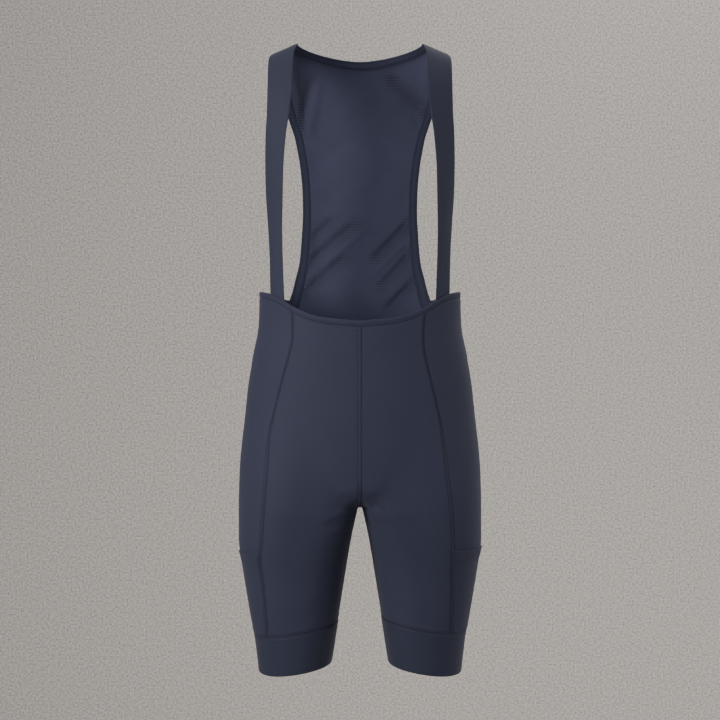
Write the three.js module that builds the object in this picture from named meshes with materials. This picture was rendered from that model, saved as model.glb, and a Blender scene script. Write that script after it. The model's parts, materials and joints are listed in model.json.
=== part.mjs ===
import * as THREE from 'three';

// Cycling bib shorts, in the shape they have when worn, with nobody in them.
// Millimetres, +Z up, +X to the right as seen from the front, and the front faces -Y.
// The origin lies on top of the shoulders, midway between the two straps.

// Cloth
const LYCRA = 1.1;
const MESH = 1.0;
const WEBBING = 1.4;
const GRIPPER = 1.8;
const POCKET = 1.0;
const WAIST_BAND = 1.6;
const BINDING = 2.0;
const PAD = 8;
const GAP = 0.3;
const PAD_CLEARANCE = 2.8;
const STRAP_CLEARANCE = 2.4;

// Widths of the strips
const WAIST_BAND_WIDTH = 7.8;
const BINDING_WIDTH = 12;

// Levels of the shorts
const WAIST_ROWS_END = -450;
const SEAT_LEVEL = -560;
const SIDE_PARTING = -480;
const MIDDLE_PARTING = -598;
const CROTCH = -651;
const CROTCH_ROW = -690;
const POCKET_MOUTH = { left: -714, right: -708 };
const CUFF_SEAM = { left: -829, right: -824 };
const CUFF_SEAM_INSIDE = { left: -812, right: -806 };
const HEM = -885;
const HEM_INSIDE = -872;
const WAIST_FRONT = -389.7;
const WAIST_FRONT_ANGLE = -130;
const LEG_AXIS = 90;

// Shoulders and neck
const SHOULDER_Y = 5;
const SHOULDER_DROP = 110;
const SHOULDER_SLOPE = -0.43;
const NECK_CORNER_HEIGHT = 8;
const NECK_HALF_WIDTH = 89.3;
const NECK_CENTRE_HEIGHT = -7.5;
const NECK_DEPTH = 60;
const NECK_SEAM_DEPTH = 65;
const NECK_SEAM_HALF_WIDTH = 100.1;
const ARMHOLE_TOP = 127;
const BACK_CORNER = 102.8;
const BACK_CORNER_HEIGHT = -356.5;
const BACK_SEAM_CENTRE = -425;
const STRAP_END = -373;
const STRAP_MIDDLE = 110;
const CHEST_TOP = -60;

// Roundness of the sections: 2 is an ellipse, and more is squarer
const TORSO_ROUNDNESS = 2.3;
const OUTER_LEG_ROUNDNESS = 2.2;

// The middle where the legs part: half its width at the crotch, and where the sides begin and end
const CROTCH_SOFTNESS = 4;
const MIDDLE_HALF_WIDTH = 10;
const SIDE_HALF_WIDTH = 100;

// Powers of the two curved seams of the back: 1 is straight, and more is flatter in the middle
const NECK_POWER = 1.6;
const BACK_SEAM_POWER = 2.2;

// Grid of the solids
const WAIST_ROWS = 5;
const HIP_ROWS = 6;
const CROTCH_ROWS = 9;
const THIGH_ROWS = 7;
const CUFF_ROWS = 4;
const FRONT_COLUMNS = 11;
const SIDE_COLUMNS = 9;
const SEAT_COLUMNS = 10;
const BACK_ROWS = 22;
const NECK_COLUMNS = 8;
const SHOULDER_ROWS = 9;
const STRAP_ROWS = 17;
const PAD_ROWS = 18;
const PAD_COLUMNS = 6;
const PAD_STRIDES = 6;
const FAN_START = 50;
const INNER_LEG_CROWDING = 1.15;
const NECK_CROWDING = 1.3;
const SHOULDER_CROWDING = 1.35;

// Search for the cloth along a ray, and for a seam along a row
const FIRST_REACH = 20;
const LAST_REACH = 260;
const REACH_STRIDE = 1.5;
const HALVINGS = 16;
const SETTLING_TURNS = 6;
const SEAM_SEARCH = { from: -125, to: -5, halvings: 30 };

// A smooth curve through the rows of a table, without overshoot, for each named column
function table(columns, rows) {
  const sorted = [...rows].sort((a, b) => a[0] - b[0]);
  const places = sorted.map((row) => row[0]);
  const curves = {};
  for (let column = 1; column < columns.length; column += 1) {
    curves[columns[column]] = smoothCurve(places, sorted.map((row) => row[column]));
  }
  return curves;
}

function smoothCurve(places, values) {
  const last = places.length - 1;
  const slopes = [];
  for (let i = 0; i < last; i += 1) {
    slopes.push((values[i + 1] - values[i]) / (places[i + 1] - places[i]));
  }
  const tangents = [slopes[0]];
  for (let i = 1; i < last; i += 1) {
    const turns = slopes[i - 1] * slopes[i] <= 0;
    tangents.push(turns ? 0 : 2 / (1 / slopes[i - 1] + 1 / slopes[i]));
  }
  tangents.push(slopes[last - 1]);
  return (place) => {
    if (place <= places[0]) return values[0];
    if (place >= places[last]) return values[last];
    let i = 0;
    while (place > places[i + 1]) i += 1;
    const span = places[i + 1] - places[i];
    const t = (place - places[i]) / span;
    const towards = t * t * (3 - 2 * t);
    const leave = t * (1 - t) * (1 - t) * span;
    const arrive = t * t * (t - 1) * span;
    return values[i] + (values[i + 1] - values[i]) * towards + tangents[i] * leave + tangents[i + 1] * arrive;
  };
}

// The figure that the cloth lies on, from the shoulders to the crotch
const torso = table(['height', 'halfWidth', 'front', 'back'], [
  [10, 178, 74, 80],
  [-60, 168, 92, 94],
  [-130, 155, 106, 103],
  [-200, 145, 112, 104],
  [-250, 139.5, 111, 97],
  [-300, 139.5, 108, 89],
  [-347, 142.6, 105, 82],
  [-394, 144.3, 106, 82],
  [-439, 152.6, 107, 91],
  [-485, 159.7, 108, 106],
  [-530, 164.2, 109, 118],
  [-576, 169.7, 109, 122],
  [-622, 172.4, 106.5, 120],
  [-660, 172.5, 103, 114],
]);

// One leg: its inner and outer edge from the middle of the body, its depth to front and back, and
// the roundness of its inner half, which is squarer at the top, where the cloth spans both legs
const leg = table(['height', 'inner', 'outer', 'front', 'back', 'frontRoundness', 'backRoundness'], [
  [-480, -25.2, 159, 101, 106, 3.2, 3.2],
  [-560, -11.4, 168, 103, 116, 3.2, 3.2],
  [-600, -5, 171.2, 103, 112, 2.9, 2.9],
  [-651, 5, 172.5, 101, 105, 2.6, 2.45],
  [-672, 8.9, 172.5, 98, 100.5, 2.6, 2.4],
  [-697, 13.7, 172.5, 94, 96, 2.5, 2.4],
  [-705, 15.1, 172.1, 92.5, 94, 2.4, 2.4],
  [-723, 18.1, 168.4, 89, 91, 2.4, 2.4],
  [-749, 22.2, 164.1, 84, 86, 2.5, 2.35],
  [-800, 30.2, 155.6, 78, 79, 2.35, 2.3],
  [-834, 34.8, 149.5, 73.5, 74.5, 2.25, 2.25],
  [-860, 38.8, 146, 69.5, 70, 2.2, 2.2],
  [-886, 43, 143.1, 66, 66, 2.2, 2.2],
]);

// Top edge of the shorts: its height by the angle about the leg axis, from front to back
const waistEdge = table(['angle', 'height'], [
  [WAIST_FRONT_ANGLE, WAIST_FRONT],
  [-111, -384.7],
  [-93.5, -373.6],
  [-85, -366.5],
  [-78.5, -361],
  [-58.7, -351],
  [-30, -347.5],
  [0, -347],
  [40, -349],
  [76, BACK_CORNER_HEIGHT],
]);

// Long seams of the front: how far each lies from the middle
const frontSeam = table(['height', 'left', 'right'], [
  [-372, 94, 90],
  [-410, 92.5, 86.7],
  [-430, 96, 88],
  [-455, 103, 93.3],
  [-500, 114.5, 104.2],
  [-550, 125.5, 114],
  [-600, 129.5, 119.7],
  [-650, 133, 125.5],
  [-700, 137, 128],
  [-715, 138.5, 127.3],
  [-760, 134, 127.7],
  [-816, 129.5, 126],
]);

// Seam between side and seat: its angle about the leg axis
const backSeam = table(['height', 'angle'], [
  [-829, 46],
  [-700, 48],
  [-600, 56],
  [-450, 72],
  [-356, 76],
]);

// Edge of the mesh back at the armhole
const armhole = table(['height', 'halfWidth'], [
  [-10, ARMHOLE_TOP],
  [-50, 116],
  [-75, 109.5],
  [-95, 103.3],
  [-113, 96.4],
  [-131, 92.2],
  [-148, 88.8],
  [-184, 85],
  [-215, 84.2],
  [-245, 85.6],
  [-282, 88.4],
  [-318, 95],
  [-335, 98.2],
  [-356, BACK_CORNER],
]);

// Edges of a strap, from the middle of the body
const strapEdges = table(['height', 'inner', 'outer'], [
  [8, 89, 127.4],
  [-10, 93.5, 128],
  [-17, 93.8, 129.6],
  [-60, 95, 130.2],
  [-100, 98.6, 131.5],
  [-131, 103.6, 133.6],
  [-180, 107.8, 134.8],
  [-215, 108.8, 134.2],
  [-256, 109.8, 131.6],
  [-290, 109.4, 129.4],
  [-347, 107.2, 127.6],
  [-373, 106, 127],
]);

// Largest folds of the mesh back, each a ridge from one point to another
const FOLDS = [
  { fromX: -74, fromZ: -45, toX: -84, toZ: -92, halfWidth: 13, rise: 2.2 },
  { fromX: 52, fromZ: -38, toX: 94, toZ: -78, halfWidth: 13, rise: 2.4 },
  { fromX: -74, fromZ: -300, toX: -18, toZ: -250, halfWidth: 14, rise: 1.8 },
  { fromX: 28, fromZ: -285, toX: 70, toZ: -243, halfWidth: 14, rise: 2.0 },
  { fromX: 52, fromZ: -356, toX: 84, toZ: -322, halfWidth: 14, rise: 1.6 },
];

// Seat pad: half its width by the angle round the crotch, 0 in front, 90 below and 180 behind
const PAD_START = 43;
const PAD_FINISH = 178;
const padOutline = table(['angle', 'halfWidth'], [
  [43, 14],
  [48, 28],
  [60, 38],
  [90, 48],
  [120, 62],
  [145, 74],
  [165, 68],
  [178, 34],
]);
const PAD_EDGE = 2.5;

const mix = (a, b, t) => a + (b - a) * t;
const smoothstep = (value, low, high) => THREE.MathUtils.smoothstep(value, low, high);
const degrees = THREE.MathUtils.degToRad;

// Size of a superellipse section through a point: below 1 inside, above 1 outside
function section(x, y, halfWidth, depth, roundness) {
  return ((Math.abs(x) / halfWidth) ** roundness + (Math.abs(y) / depth) ** roundness) ** (1 / roundness);
}

// Outer face of the cloth, as a field that is 0 on it, negative inside and positive outside.
// It changes from one torso to two legs, sooner at the sides than at the middle.
function field(x, y, z) {
  const width = torso.halfWidth(z);
  const depth = y < 0 ? torso.front(z) : torso.back(z);
  const body = (section(x, y, width, depth, TORSO_ROUNDNESS) - 1) * depth;
  const across = Math.hypot(x, CROTCH_SOFTNESS);
  const start = mix(MIDDLE_PARTING, SIDE_PARTING, smoothstep(across, MIDDLE_HALF_WIDTH, SIDE_HALF_WIDTH));
  const change = smoothstep(start - z, 0, start - CROTCH);
  if (change === 0) return body;
  const inner = leg.inner(z);
  const half = (leg.outer(z) - inner) / 2;
  const legDepth = y < 0 ? leg.front(z) : leg.back(z);
  const aside = across - inner - half;
  const innerRoundness = y < 0 ? leg.frontRoundness(z) : leg.backRoundness(z);
  const roundness = aside < 0 ? innerRoundness : OUTER_LEG_ROUNDNESS;
  const thigh = (section(aside, y, half, legDepth, roundness) - 1) * half;
  return mix(body, thigh, change);
}

function outward(point) {
  const step = 0.4;
  const { x, y, z } = point;
  return new THREE.Vector3(
    field(x + step, y, z) - field(x - step, y, z),
    field(x, y + step, z) - field(x, y - step, z),
    field(x, y, z + step) - field(x, y, z - step),
  ).normalize();
}

// Where a ray from inside first meets the outer face
function meet(origin, direction) {
  const inside = (reach) => {
    const point = origin.clone().addScaledVector(direction, reach);
    return field(point.x, point.y, point.z) < 0;
  };
  let far = FIRST_REACH;
  while (far < LAST_REACH && inside(far)) far += REACH_STRIDE;
  let near = far - REACH_STRIDE;
  for (let i = 0; i < HALVINGS; i += 1) {
    const middle = (near + far) / 2;
    if (inside(middle)) near = middle;
    else far = middle;
  }
  return origin.clone().addScaledVector(direction, far);
}

// Point of the middle seam round the crotch, by the angle that the pad uses
function crotchPoint(angle) {
  const turn = degrees(angle);
  const origin = new THREE.Vector3(0, 0, SEAT_LEVEL);
  return meet(origin, new THREE.Vector3(0, -Math.cos(turn), -Math.sin(turn)));
}

// A row of the shorts runs round one half, from the middle seam in front to the one behind.
// Each end has an angle about the leg axis and a slope, so that the rows fan out at the crotch.
function rowEnd(point, level) {
  const reach = Math.hypot(LEG_AXIS, point.y);
  const angle = THREE.MathUtils.radToDeg(Math.atan2(Math.abs(point.y), -LEG_AXIS));
  return { angle, slope: (point.z - level) / reach, point };
}

function hipRow(level, down) {
  const frontLevel = down === null ? level : mix(WAIST_FRONT - WAIST_BAND_WIDTH, level, down);
  const backLevel = down === null ? level : mix(BACK_SEAM_CENTRE, level, down);
  const front = new THREE.Vector3(0, -torso.front(frontLevel), frontLevel);
  const back = new THREE.Vector3(0, torso.back(backLevel), backLevel);
  return { level, down, open: true, front: rowEnd(front, frontLevel), back: rowEnd(back, backLevel) };
}

function crotchRow(level) {
  const angle = (90 * (SEAT_LEVEL - level)) / (SEAT_LEVEL - CROTCH_ROW);
  const front = rowEnd(crotchPoint(angle), level);
  const back = rowEnd(crotchPoint(180 - angle), level);
  return { level, down: null, open: true, front, back };
}

// Below the crotch a row is a ring, higher inside the leg than outside
function ringRow(level, inside) {
  const end = { angle: 180, slope: (inside - level) / (LEG_AXIS - leg.inner(inside)) };
  return { level, down: null, open: false, front: end, back: end };
}

function thighRow(level, side) {
  const along = (level - CROTCH_ROW) / (CUFF_SEAM[side] - CROTCH_ROW);
  return ringRow(level, mix(crotchPoint(90).z, CUFF_SEAM_INSIDE[side], along));
}

function cuffRow(along, side) {
  return ringRow(mix(CUFF_SEAM[side], HEM, along), mix(CUFF_SEAM_INSIDE[side], HEM_INSIDE, along));
}

// Point of the right half on a row, by the angle about the leg axis
function bodyPoint(row, angle) {
  const end = angle < 0 ? row.front : row.back;
  const away = Math.abs(angle);
  const turn = degrees(angle);
  const slope = end.slope * smoothstep(away, FAN_START, end.angle);
  const direction = new THREE.Vector3(Math.cos(turn), Math.sin(turn), slope).normalize();
  if (row.down === null) return meet(new THREE.Vector3(LEG_AXIS, 0, row.level), direction);
  let point = new THREE.Vector3(BACK_CORNER, 0, BACK_CORNER_HEIGHT);
  for (let i = 0; i < SETTLING_TURNS; i += 1) {
    const top = row.seat ? backSeamHeight(point.x) : waistEdge.height(angle) - WAIST_BAND_WIDTH;
    point = meet(new THREE.Vector3(LEG_AXIS, 0, mix(top, row.level, row.down)), direction);
  }
  return point;
}

// Seam between the mesh back and the seat
function backSeamHeight(x) {
  const out = Math.min(1, Math.abs(x) / BACK_CORNER);
  return mix(BACK_SEAM_CENTRE, BACK_CORNER_HEIGHT, out ** BACK_SEAM_POWER);
}

// Angle at which the front seam of a side crosses a row
function frontSeamAngle(row, side) {
  let low = SEAM_SEARCH.from;
  let high = SEAM_SEARCH.to;
  for (let i = 0; i < SEAM_SEARCH.halvings; i += 1) {
    const angle = (low + high) / 2;
    const point = bodyPoint(row, angle);
    if (point.x < frontSeam[side](point.z)) low = angle;
    else high = angle;
  }
  return (low + high) / 2;
}

function rowsBetween(from, to, count, make) {
  return Array.from({ length: count }, (_, i) => make(mix(from, to, (i + 1) / count)));
}

const waistRows = Array.from({ length: WAIST_ROWS + 1 }, (_, i) => hipRow(WAIST_ROWS_END, i / WAIST_ROWS));

function rowsOf(side) {
  const thigh = (level) => thighRow(level, side);
  return [
    ...waistRows,
    ...rowsBetween(WAIST_ROWS_END, SEAT_LEVEL, HIP_ROWS, (level) => hipRow(level, null)),
    ...rowsBetween(SEAT_LEVEL, CROTCH_ROW, CROTCH_ROWS, crotchRow),
    thigh(POCKET_MOUTH.right),
    thigh(POCKET_MOUTH.left),
    ...rowsBetween(POCKET_MOUTH.left, CUFF_SEAM[side], THIGH_ROWS, thigh),
  ];
}

const rows = { left: rowsOf('left'), right: rowsOf('right') };

// Angles of the columns between two seams, closer together at the first one where it is crowded
function spread(from, to, count, crowding) {
  return Array.from({ length: count + 1 }, (_, i) => mix(from, to, (i / count) ** crowding));
}

function panelAngles(piece, row, side) {
  const seam = frontSeamAngle(row, side);
  const behind = backSeam.angle(row.level);
  if (piece === 'front') return spread(-row.front.angle, seam, FRONT_COLUMNS, INNER_LEG_CROWDING);
  if (piece === 'side') return spread(seam, behind, SIDE_COLUMNS, 1);
  return spread(row.back.angle, behind, SEAT_COLUMNS, INNER_LEG_CROWDING).reverse();
}

function rowPoints(row, angles) {
  return angles.map((angle) => bodyPoint(row, angle));
}

// Moves a face in or out by the same distance everywhere
function moved(grid, distance) {
  return grid.map((line) => line.map((point) => point.clone().addScaledVector(outward(point), distance)));
}

function towards(point, neighbour, distance) {
  const way = neighbour.clone().sub(point);
  return point.add(way.setLength(distance));
}

// Cuts half a seam's gap off chosen edges of a grid, or as many halves as top or bottom says
function trimmed(grid, edges) {
  const result = grid.map((line) => line.map((point) => point.clone()));
  const last = grid.length - 1;
  const end = grid[0].length - 1;
  for (let c = 0; c <= end; c += 1) {
    if (edges.top) towards(result[0][c], grid[1][c], (edges.top * GAP) / 2);
    if (edges.bottom) towards(result[last][c], grid[last - 1][c], (edges.bottom * GAP) / 2);
  }
  for (let r = 0; r <= last; r += 1) {
    if (edges.first) towards(result[r][0], grid[r][1], GAP / 2);
    if (edges.last) towards(result[r][end], grid[r][end - 1], GAP / 2);
  }
  return result;
}

// The middle seam and the inner leg seam part the halves, and the front from the seat
function trimMiddle(grid, panelRows, column, backwards) {
  panelRows.forEach((row, r) => {
    const point = grid[r][column];
    const atCrotch = row.level === CROTCH_ROW;
    if (row.open) point.copy(backwards < 0 ? row.front.point : row.back.point).setX(GAP / 2);
    if (!row.open || atCrotch) point.y += (backwards * GAP) / 2;
  });
}

function bodyPanel(piece, side) {
  const panelRows = rows[side].map((row) => ({ ...row, seat: piece === 'seat' }));
  const surface = panelRows.map((row) => rowPoints(row, panelAngles(piece, row, side)));
  const edges = { top: 1, bottom: 1, first: piece !== 'front', last: piece !== 'seat' };
  if (piece === 'front') trimMiddle(surface, panelRows, 0, -1);
  if (piece === 'seat') trimMiddle(surface, panelRows, SEAT_COLUMNS, 1);
  return trimmed(surface, edges);
}

function mirrored(grid) {
  return grid.map((line) => line.map((point) => new THREE.Vector3(-point.x, point.y, point.z)));
}

// A closed wall between two grids of equal size, round as a tube when the columns meet.
// Its cells are cut from corner to corner, falling from the first column or towards it.
function wallGeometry(outer, inner, tube, falling) {
  const height = outer.length;
  const width = outer[0].length;
  const positions = [...outer.flat(), ...inner.flat()].flatMap((point) => [point.x, point.y, point.z]);
  const at = (face, r, c) => face * height * width + r * width + (c % width);
  const index = [];
  const quad = (a, b, c, d) => {
    if (falling) index.push(a, b, c, a, c, d);
    else index.push(b, c, d, b, d, a);
  };
  const spans = tube ? width : width - 1;
  for (let r = 0; r < height - 1; r += 1) {
    for (let c = 0; c < spans; c += 1) {
      quad(at(0, r, c), at(0, r + 1, c), at(0, r + 1, c + 1), at(0, r, c + 1));
      quad(at(1, r + 1, c + 1), at(1, r + 1, c), at(1, r, c), at(1, r, c + 1));
    }
    if (!tube) {
      quad(at(0, r, 0), at(1, r, 0), at(1, r + 1, 0), at(0, r + 1, 0));
      quad(at(0, r, width - 1), at(0, r + 1, width - 1), at(1, r + 1, width - 1), at(1, r, width - 1));
    }
  }
  for (let c = 0; c < spans; c += 1) {
    quad(at(0, 0, c), at(0, 0, c + 1), at(1, 0, c + 1), at(1, 0, c));
    quad(at(0, height - 1, c), at(1, height - 1, c), at(1, height - 1, c + 1), at(0, height - 1, c + 1));
  }
  const geometry = new THREE.BufferGeometry();
  geometry.setAttribute('position', new THREE.Float32BufferAttribute(positions, 3));
  if (volume(positions, index) < 0) index.reverse();
  geometry.setIndex(index);
  geometry.computeVertexNormals();
  return geometry;
}

function volume(positions, index) {
  const corner = (i) => new THREE.Vector3().fromArray(positions, index[i] * 3);
  let total = 0;
  for (let i = 0; i < index.length; i += 3) {
    total += corner(i).dot(corner(i + 1).cross(corner(i + 2)));
  }
  return total;
}

// Materials
function navy(name, color, roughness) {
  return new THREE.MeshStandardMaterial({ name, color, roughness, metalness: 0 });
}

const lycra = navy('lycra', '#3b3f4f', 0.72);
const mesh = navy('mesh', '#363948', 0.85);
const elastic = navy('elastic', '#31354a', 0.78);
const gripper = navy('gripper', '#2e3142', 0.7);
const webbing = navy('webbing', '#3c4051', 0.75);
const foam = navy('foam', '#2b2e3b', 0.9);

const garment = new THREE.Group();

function addWall(name, material, outer, inner, { tube = false, falling = true } = {}) {
  const part = new THREE.Mesh(wallGeometry(outer, inner, tube, falling), material);
  part.name = name;
  garment.add(part);
}

// Panels of the shorts, and the pocket over each side panel
function addPanels(side) {
  const place = (grid) => (side === 'left' ? mirrored(grid) : grid);
  for (const piece of ['front', 'side', 'seat']) {
    const grid = bodyPanel(piece, side);
    const cut = { falling: piece !== 'seat' };
    addWall(`${piece}_panel_${side}`, lycra, place(grid), place(moved(grid, -LYCRA)), cut);
    if (piece === 'side') {
      const pocket = grid.slice(rows[side].findIndex((row) => row.level === POCKET_MOUTH[side]));
      addWall(`pocket_${side}`, lycra, place(moved(pocket, GAP + POCKET)), place(moved(pocket, GAP)));
    }
  }
}

// Gripper band round the end of each leg
function addCuff(side) {
  const pieces = ['front', 'side', 'seat'];
  const angles = pieces.flatMap((piece) => panelAngles(piece, rows[side].at(-1), side).slice(1));
  const surface = [];
  for (let r = 0; r <= CUFF_ROWS; r += 1) {
    surface.push(rowPoints(cuffRow(r / CUFF_ROWS, side), angles));
  }
  const grid = trimmed(surface, { top: 1 });
  const faces = [GRIPPER / 2, -GRIPPER / 2].map((distance) => moved(grid, distance));
  addWall(`cuff_${side}`, gripper, ...(side === 'left' ? faces.map(mirrored) : faces), { tube: true });
}

// Band along the top edge, from the back corner of one side round the front to the other
function addWaistBand() {
  const edge = hipRow(WAIST_ROWS_END, 0);
  const lower = { left: [], right: [] };
  const upper = { left: [], right: [] };
  for (const side of ['left', 'right']) {
    const angles = [...panelAngles('front', edge, side), ...panelAngles('side', edge, side).slice(1)];
    for (const angle of angles) {
      const base = bodyPoint(edge, angle);
      const top = waistEdge.height(angle);
      const turn = degrees(angle);
      const level = new THREE.Vector3(LEG_AXIS, 0, top);
      lower[side].push(base);
      upper[side].push(meet(level, new THREE.Vector3(Math.cos(turn), Math.sin(turn), 0)));
    }
    lower[side][0].x = 0;
    upper[side][0].x = 0;
  }
  const round = (half) => {
    const left = mirrored([half.left])[0].slice(1).reverse();
    return [...left, ...half.right];
  };
  const grid = trimmed([round(upper), round(lower)], { bottom: 1, first: true, last: true });
  const halfway = (WAIST_BAND - LYCRA) / 2;
  addWall('waist_binding', elastic, moved(grid, halfway), moved(grid, halfway - WAIST_BAND));
}

// Figure under the straps and the mesh back, rounded over the shoulder
const shoulderHeight = (x) => NECK_CORNER_HEIGHT + SHOULDER_SLOPE * (Math.abs(x) - NECK_HALF_WIDTH);

function figureDepth(x, z, facing) {
  const depth = facing < 0 ? torso.front(z) : torso.back(z);
  const out = Math.min(1, Math.abs(x) / torso.halfWidth(z));
  return facing * depth * (1 - out ** TORSO_ROUNDNESS) ** (1 / TORSO_ROUNDNESS);
}

function overShoulder(x, z, top, facing) {
  const down = Math.min(1, Math.max(0, (top.z - z) / SHOULDER_DROP));
  const round = Math.sqrt(1 - (1 - down) ** 2);
  return top.y + (figureDepth(x, z, facing) - top.y) * round;
}

// Edge of the neck and the lower line of its binding, by how far out the point lies, 0 to 1
function neckLine(out, halfWidth, depth, centre, corner) {
  const forward = (1 - out ** TORSO_ROUNDNESS) ** (1 / TORSO_ROUNDNESS);
  const height = mix(centre, corner, out ** NECK_POWER);
  return new THREE.Vector3(halfWidth * out, SHOULDER_Y + depth * forward, height);
}

const neckEdge = (out) => neckLine(out, NECK_HALF_WIDTH, NECK_DEPTH, NECK_CENTRE_HEIGHT, NECK_CORNER_HEIGHT);

function neckSeam(out) {
  const corner = shoulderHeight(NECK_SEAM_HALF_WIDTH);
  return neckLine(out, NECK_SEAM_HALF_WIDTH, NECK_SEAM_DEPTH, NECK_CENTRE_HEIGHT - BINDING_WIDTH, corner);
}

// Top of the mesh back: the seam of the neck binding, then the shoulder seam
function backTop(x) {
  const out = Math.abs(x) / NECK_SEAM_HALF_WIDTH;
  if (out <= 1) return neckSeam(out);
  return new THREE.Vector3(Math.abs(x), SHOULDER_Y, shoulderHeight(x));
}

// Point of the mesh back, by a signed distance in from the armhole edge or a share of its width
function backPoint(down, across) {
  const edgeHeight = mix(backTop(ARMHOLE_TOP).z, BACK_CORNER_HEIGHT, down);
  const edge = armhole.halfWidth(edgeHeight);
  const share = across(edge);
  const x = share * edge;
  const top = backTop(share * ARMHOLE_TOP);
  const z = mix(top.z, backSeamHeight(x), down);
  return new THREE.Vector3(x, overShoulder(x, z, top, 1), z);
}

// Columns are closer together at the corners of the neck, and rows over the shoulder
const neckShares = spread(1, 0, NECK_COLUMNS, NECK_CROWDING).reverse();
const backRows = spread(0, 1, BACK_ROWS, SHOULDER_CROWDING);

function foldRise(x, z) {
  let rise = 0;
  for (const fold of FOLDS) {
    const alongX = fold.toX - fold.fromX;
    const alongZ = fold.toZ - fold.fromZ;
    const length = Math.hypot(alongX, alongZ);
    const along = ((x - fold.fromX) * alongX + (z - fold.fromZ) * alongZ) / length / length;
    const aside = ((x - fold.fromX) * alongZ - (z - fold.fromZ) * alongX) / length;
    const over = Math.max(0, -along, along - 1) * length;
    const distance = Math.hypot(aside, over) / fold.halfWidth;
    if (distance < 1) rise += fold.rise * (1 - distance * distance) ** 2;
  }
  return rise;
}

// Face moved along the normals of its own grid, upright at the shoulder seam
function movedAlong(grid, distance) {
  return grid.map((line, r) => line.map((point, c) => {
    const above = grid[Math.max(0, r - 1)][c];
    const below = grid[Math.min(grid.length - 1, r + 1)][c];
    const before = line[Math.max(0, c - 1)];
    const after = line[Math.min(line.length - 1, c + 1)];
    const normal = below.clone().sub(above).cross(after.clone().sub(before)).normalize();
    if (normal.dot(awayFromBody(point)) < 0) normal.negate();
    if (Math.abs(point.y - SHOULDER_Y) < 1) normal.setY(0).normalize();
    return point.clone().addScaledVector(normal, distance(point));
  }));
}

const awayFromBody = (point) => new THREE.Vector3(0, point.y, Math.max(0, point.z - CHEST_TOP));

function addBack() {
  const seamShare = NECK_SEAM_HALF_WIDTH / (ARMHOLE_TOP - BINDING_WIDTH);
  const half = [...neckShares.map((out) => out * seamShare), 1];
  const shares = [...half.slice(1).reverse().map((share) => -share), ...half];
  const panel = backRows.map((down) => shares.map((share) => (
    backPoint(down, (edge) => share * (1 - BINDING_WIDTH / edge))
  )));
  const grid = trimmed(panel, { top: 1, bottom: 2, first: true, last: true });
  for (const point of grid.flat()) point.y += foldRise(point.x, point.z);
  addWall('back_mesh_panel', mesh, movedAlong(grid, () => MESH / 2), movedAlong(grid, () => -MESH / 2));
  const strip = backRows.map((down) => [BINDING_WIDTH, BINDING_WIDTH / 2, 0].map((inset) => (
    backPoint(down, (edge) => 1 - inset / edge)
  )));
  const binding = trimmed(strip, { top: 1, bottom: 1, first: true });
  const faces = [BINDING / 2, -BINDING / 2].map((distance) => movedAlong(binding, () => distance));
  addWall('armhole_binding_right', elastic, ...faces);
  addWall('armhole_binding_left', elastic, ...faces.map(mirrored));
}

function addNeckBinding() {
  const half = [neckEdge, neckSeam].map((line) => neckShares.map(line));
  const whole = half.map((line) => [...mirrored([line])[0].slice(1).reverse(), ...line]);
  const grid = trimmed(whole, { bottom: 1, first: true, last: true });
  const faces = [BINDING / 2, -BINDING / 2].map((distance) => movedAlong(grid, () => distance));
  addWall('neck_binding', elastic, ...faces);
}

function addStraps() {
  const strip = [];
  for (let i = 0; i <= SHOULDER_ROWS; i += 1) {
    const share = 1 - Math.cos(degrees((90 * i) / SHOULDER_ROWS));
    strip.push(strapLine((x) => shoulderHeight(x) - SHOULDER_DROP * share));
  }
  for (let i = 1; i <= STRAP_ROWS; i += 1) {
    strip.push(strapLine((x) => mix(shoulderHeight(x) - SHOULDER_DROP, STRAP_END, i / STRAP_ROWS)));
  }
  const grid = trimmed(strip, { top: 1 });
  const sunk = (point) => -STRAP_CLEARANCE * smoothstep(-point.z, 0, SHOULDER_DROP);
  const outer = movedAlong(grid, sunk);
  const inner = movedAlong(grid, (point) => sunk(point) - WEBBING);
  addWall('strap_right', webbing, outer, inner);
  addWall('strap_left', webbing, mirrored(outer), mirrored(inner));
}

function strapLine(heightAt) {
  return [0, 0.5, 1].map((across) => {
    let x = STRAP_MIDDLE;
    for (let i = 0; i < SETTLING_TURNS; i += 1) {
      const z = heightAt(x);
      x = mix(strapEdges.inner(z), strapEdges.outer(z), across);
    }
    const z = heightAt(x);
    const top = new THREE.Vector3(x, SHOULDER_Y, shoulderHeight(x));
    return new THREE.Vector3(x, overShoulder(x, z, top, -1), z);
  });
}

// Seat pad: lines that start at the middle seam and follow the inner face of the cloth sideways
function padLine(angle, halfWidth, depth) {
  const turn = degrees(angle);
  const at = (x, reach) => new THREE.Vector3(x, -reach * Math.cos(turn), SEAT_LEVEL - reach * Math.sin(turn));
  const start = crotchPoint(angle);
  const steps = PAD_STRIDES * PAD_COLUMNS;
  const stride = halfWidth / steps;
  let x = 0;
  let reach = Math.hypot(start.y, start.z - SEAT_LEVEL);
  const line = [];
  for (let i = 0; i <= steps; i += 1) {
    const point = at(x, reach);
    const normal = outward(point);
    if (i % PAD_STRIDES === 0) line.push(point.clone().addScaledVector(normal, -depth));
    const away = -normal.y * Math.cos(turn) - normal.z * Math.sin(turn);
    const length = Math.hypot(normal.x, away);
    x += (stride * away) / length;
    reach -= (stride * normal.x) / length;
    const slip = at(x, reach);
    reach -= field(slip.x, slip.y, slip.z) * away;
    x -= field(slip.x, slip.y, slip.z) * normal.x;
  }
  return line;
}

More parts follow.
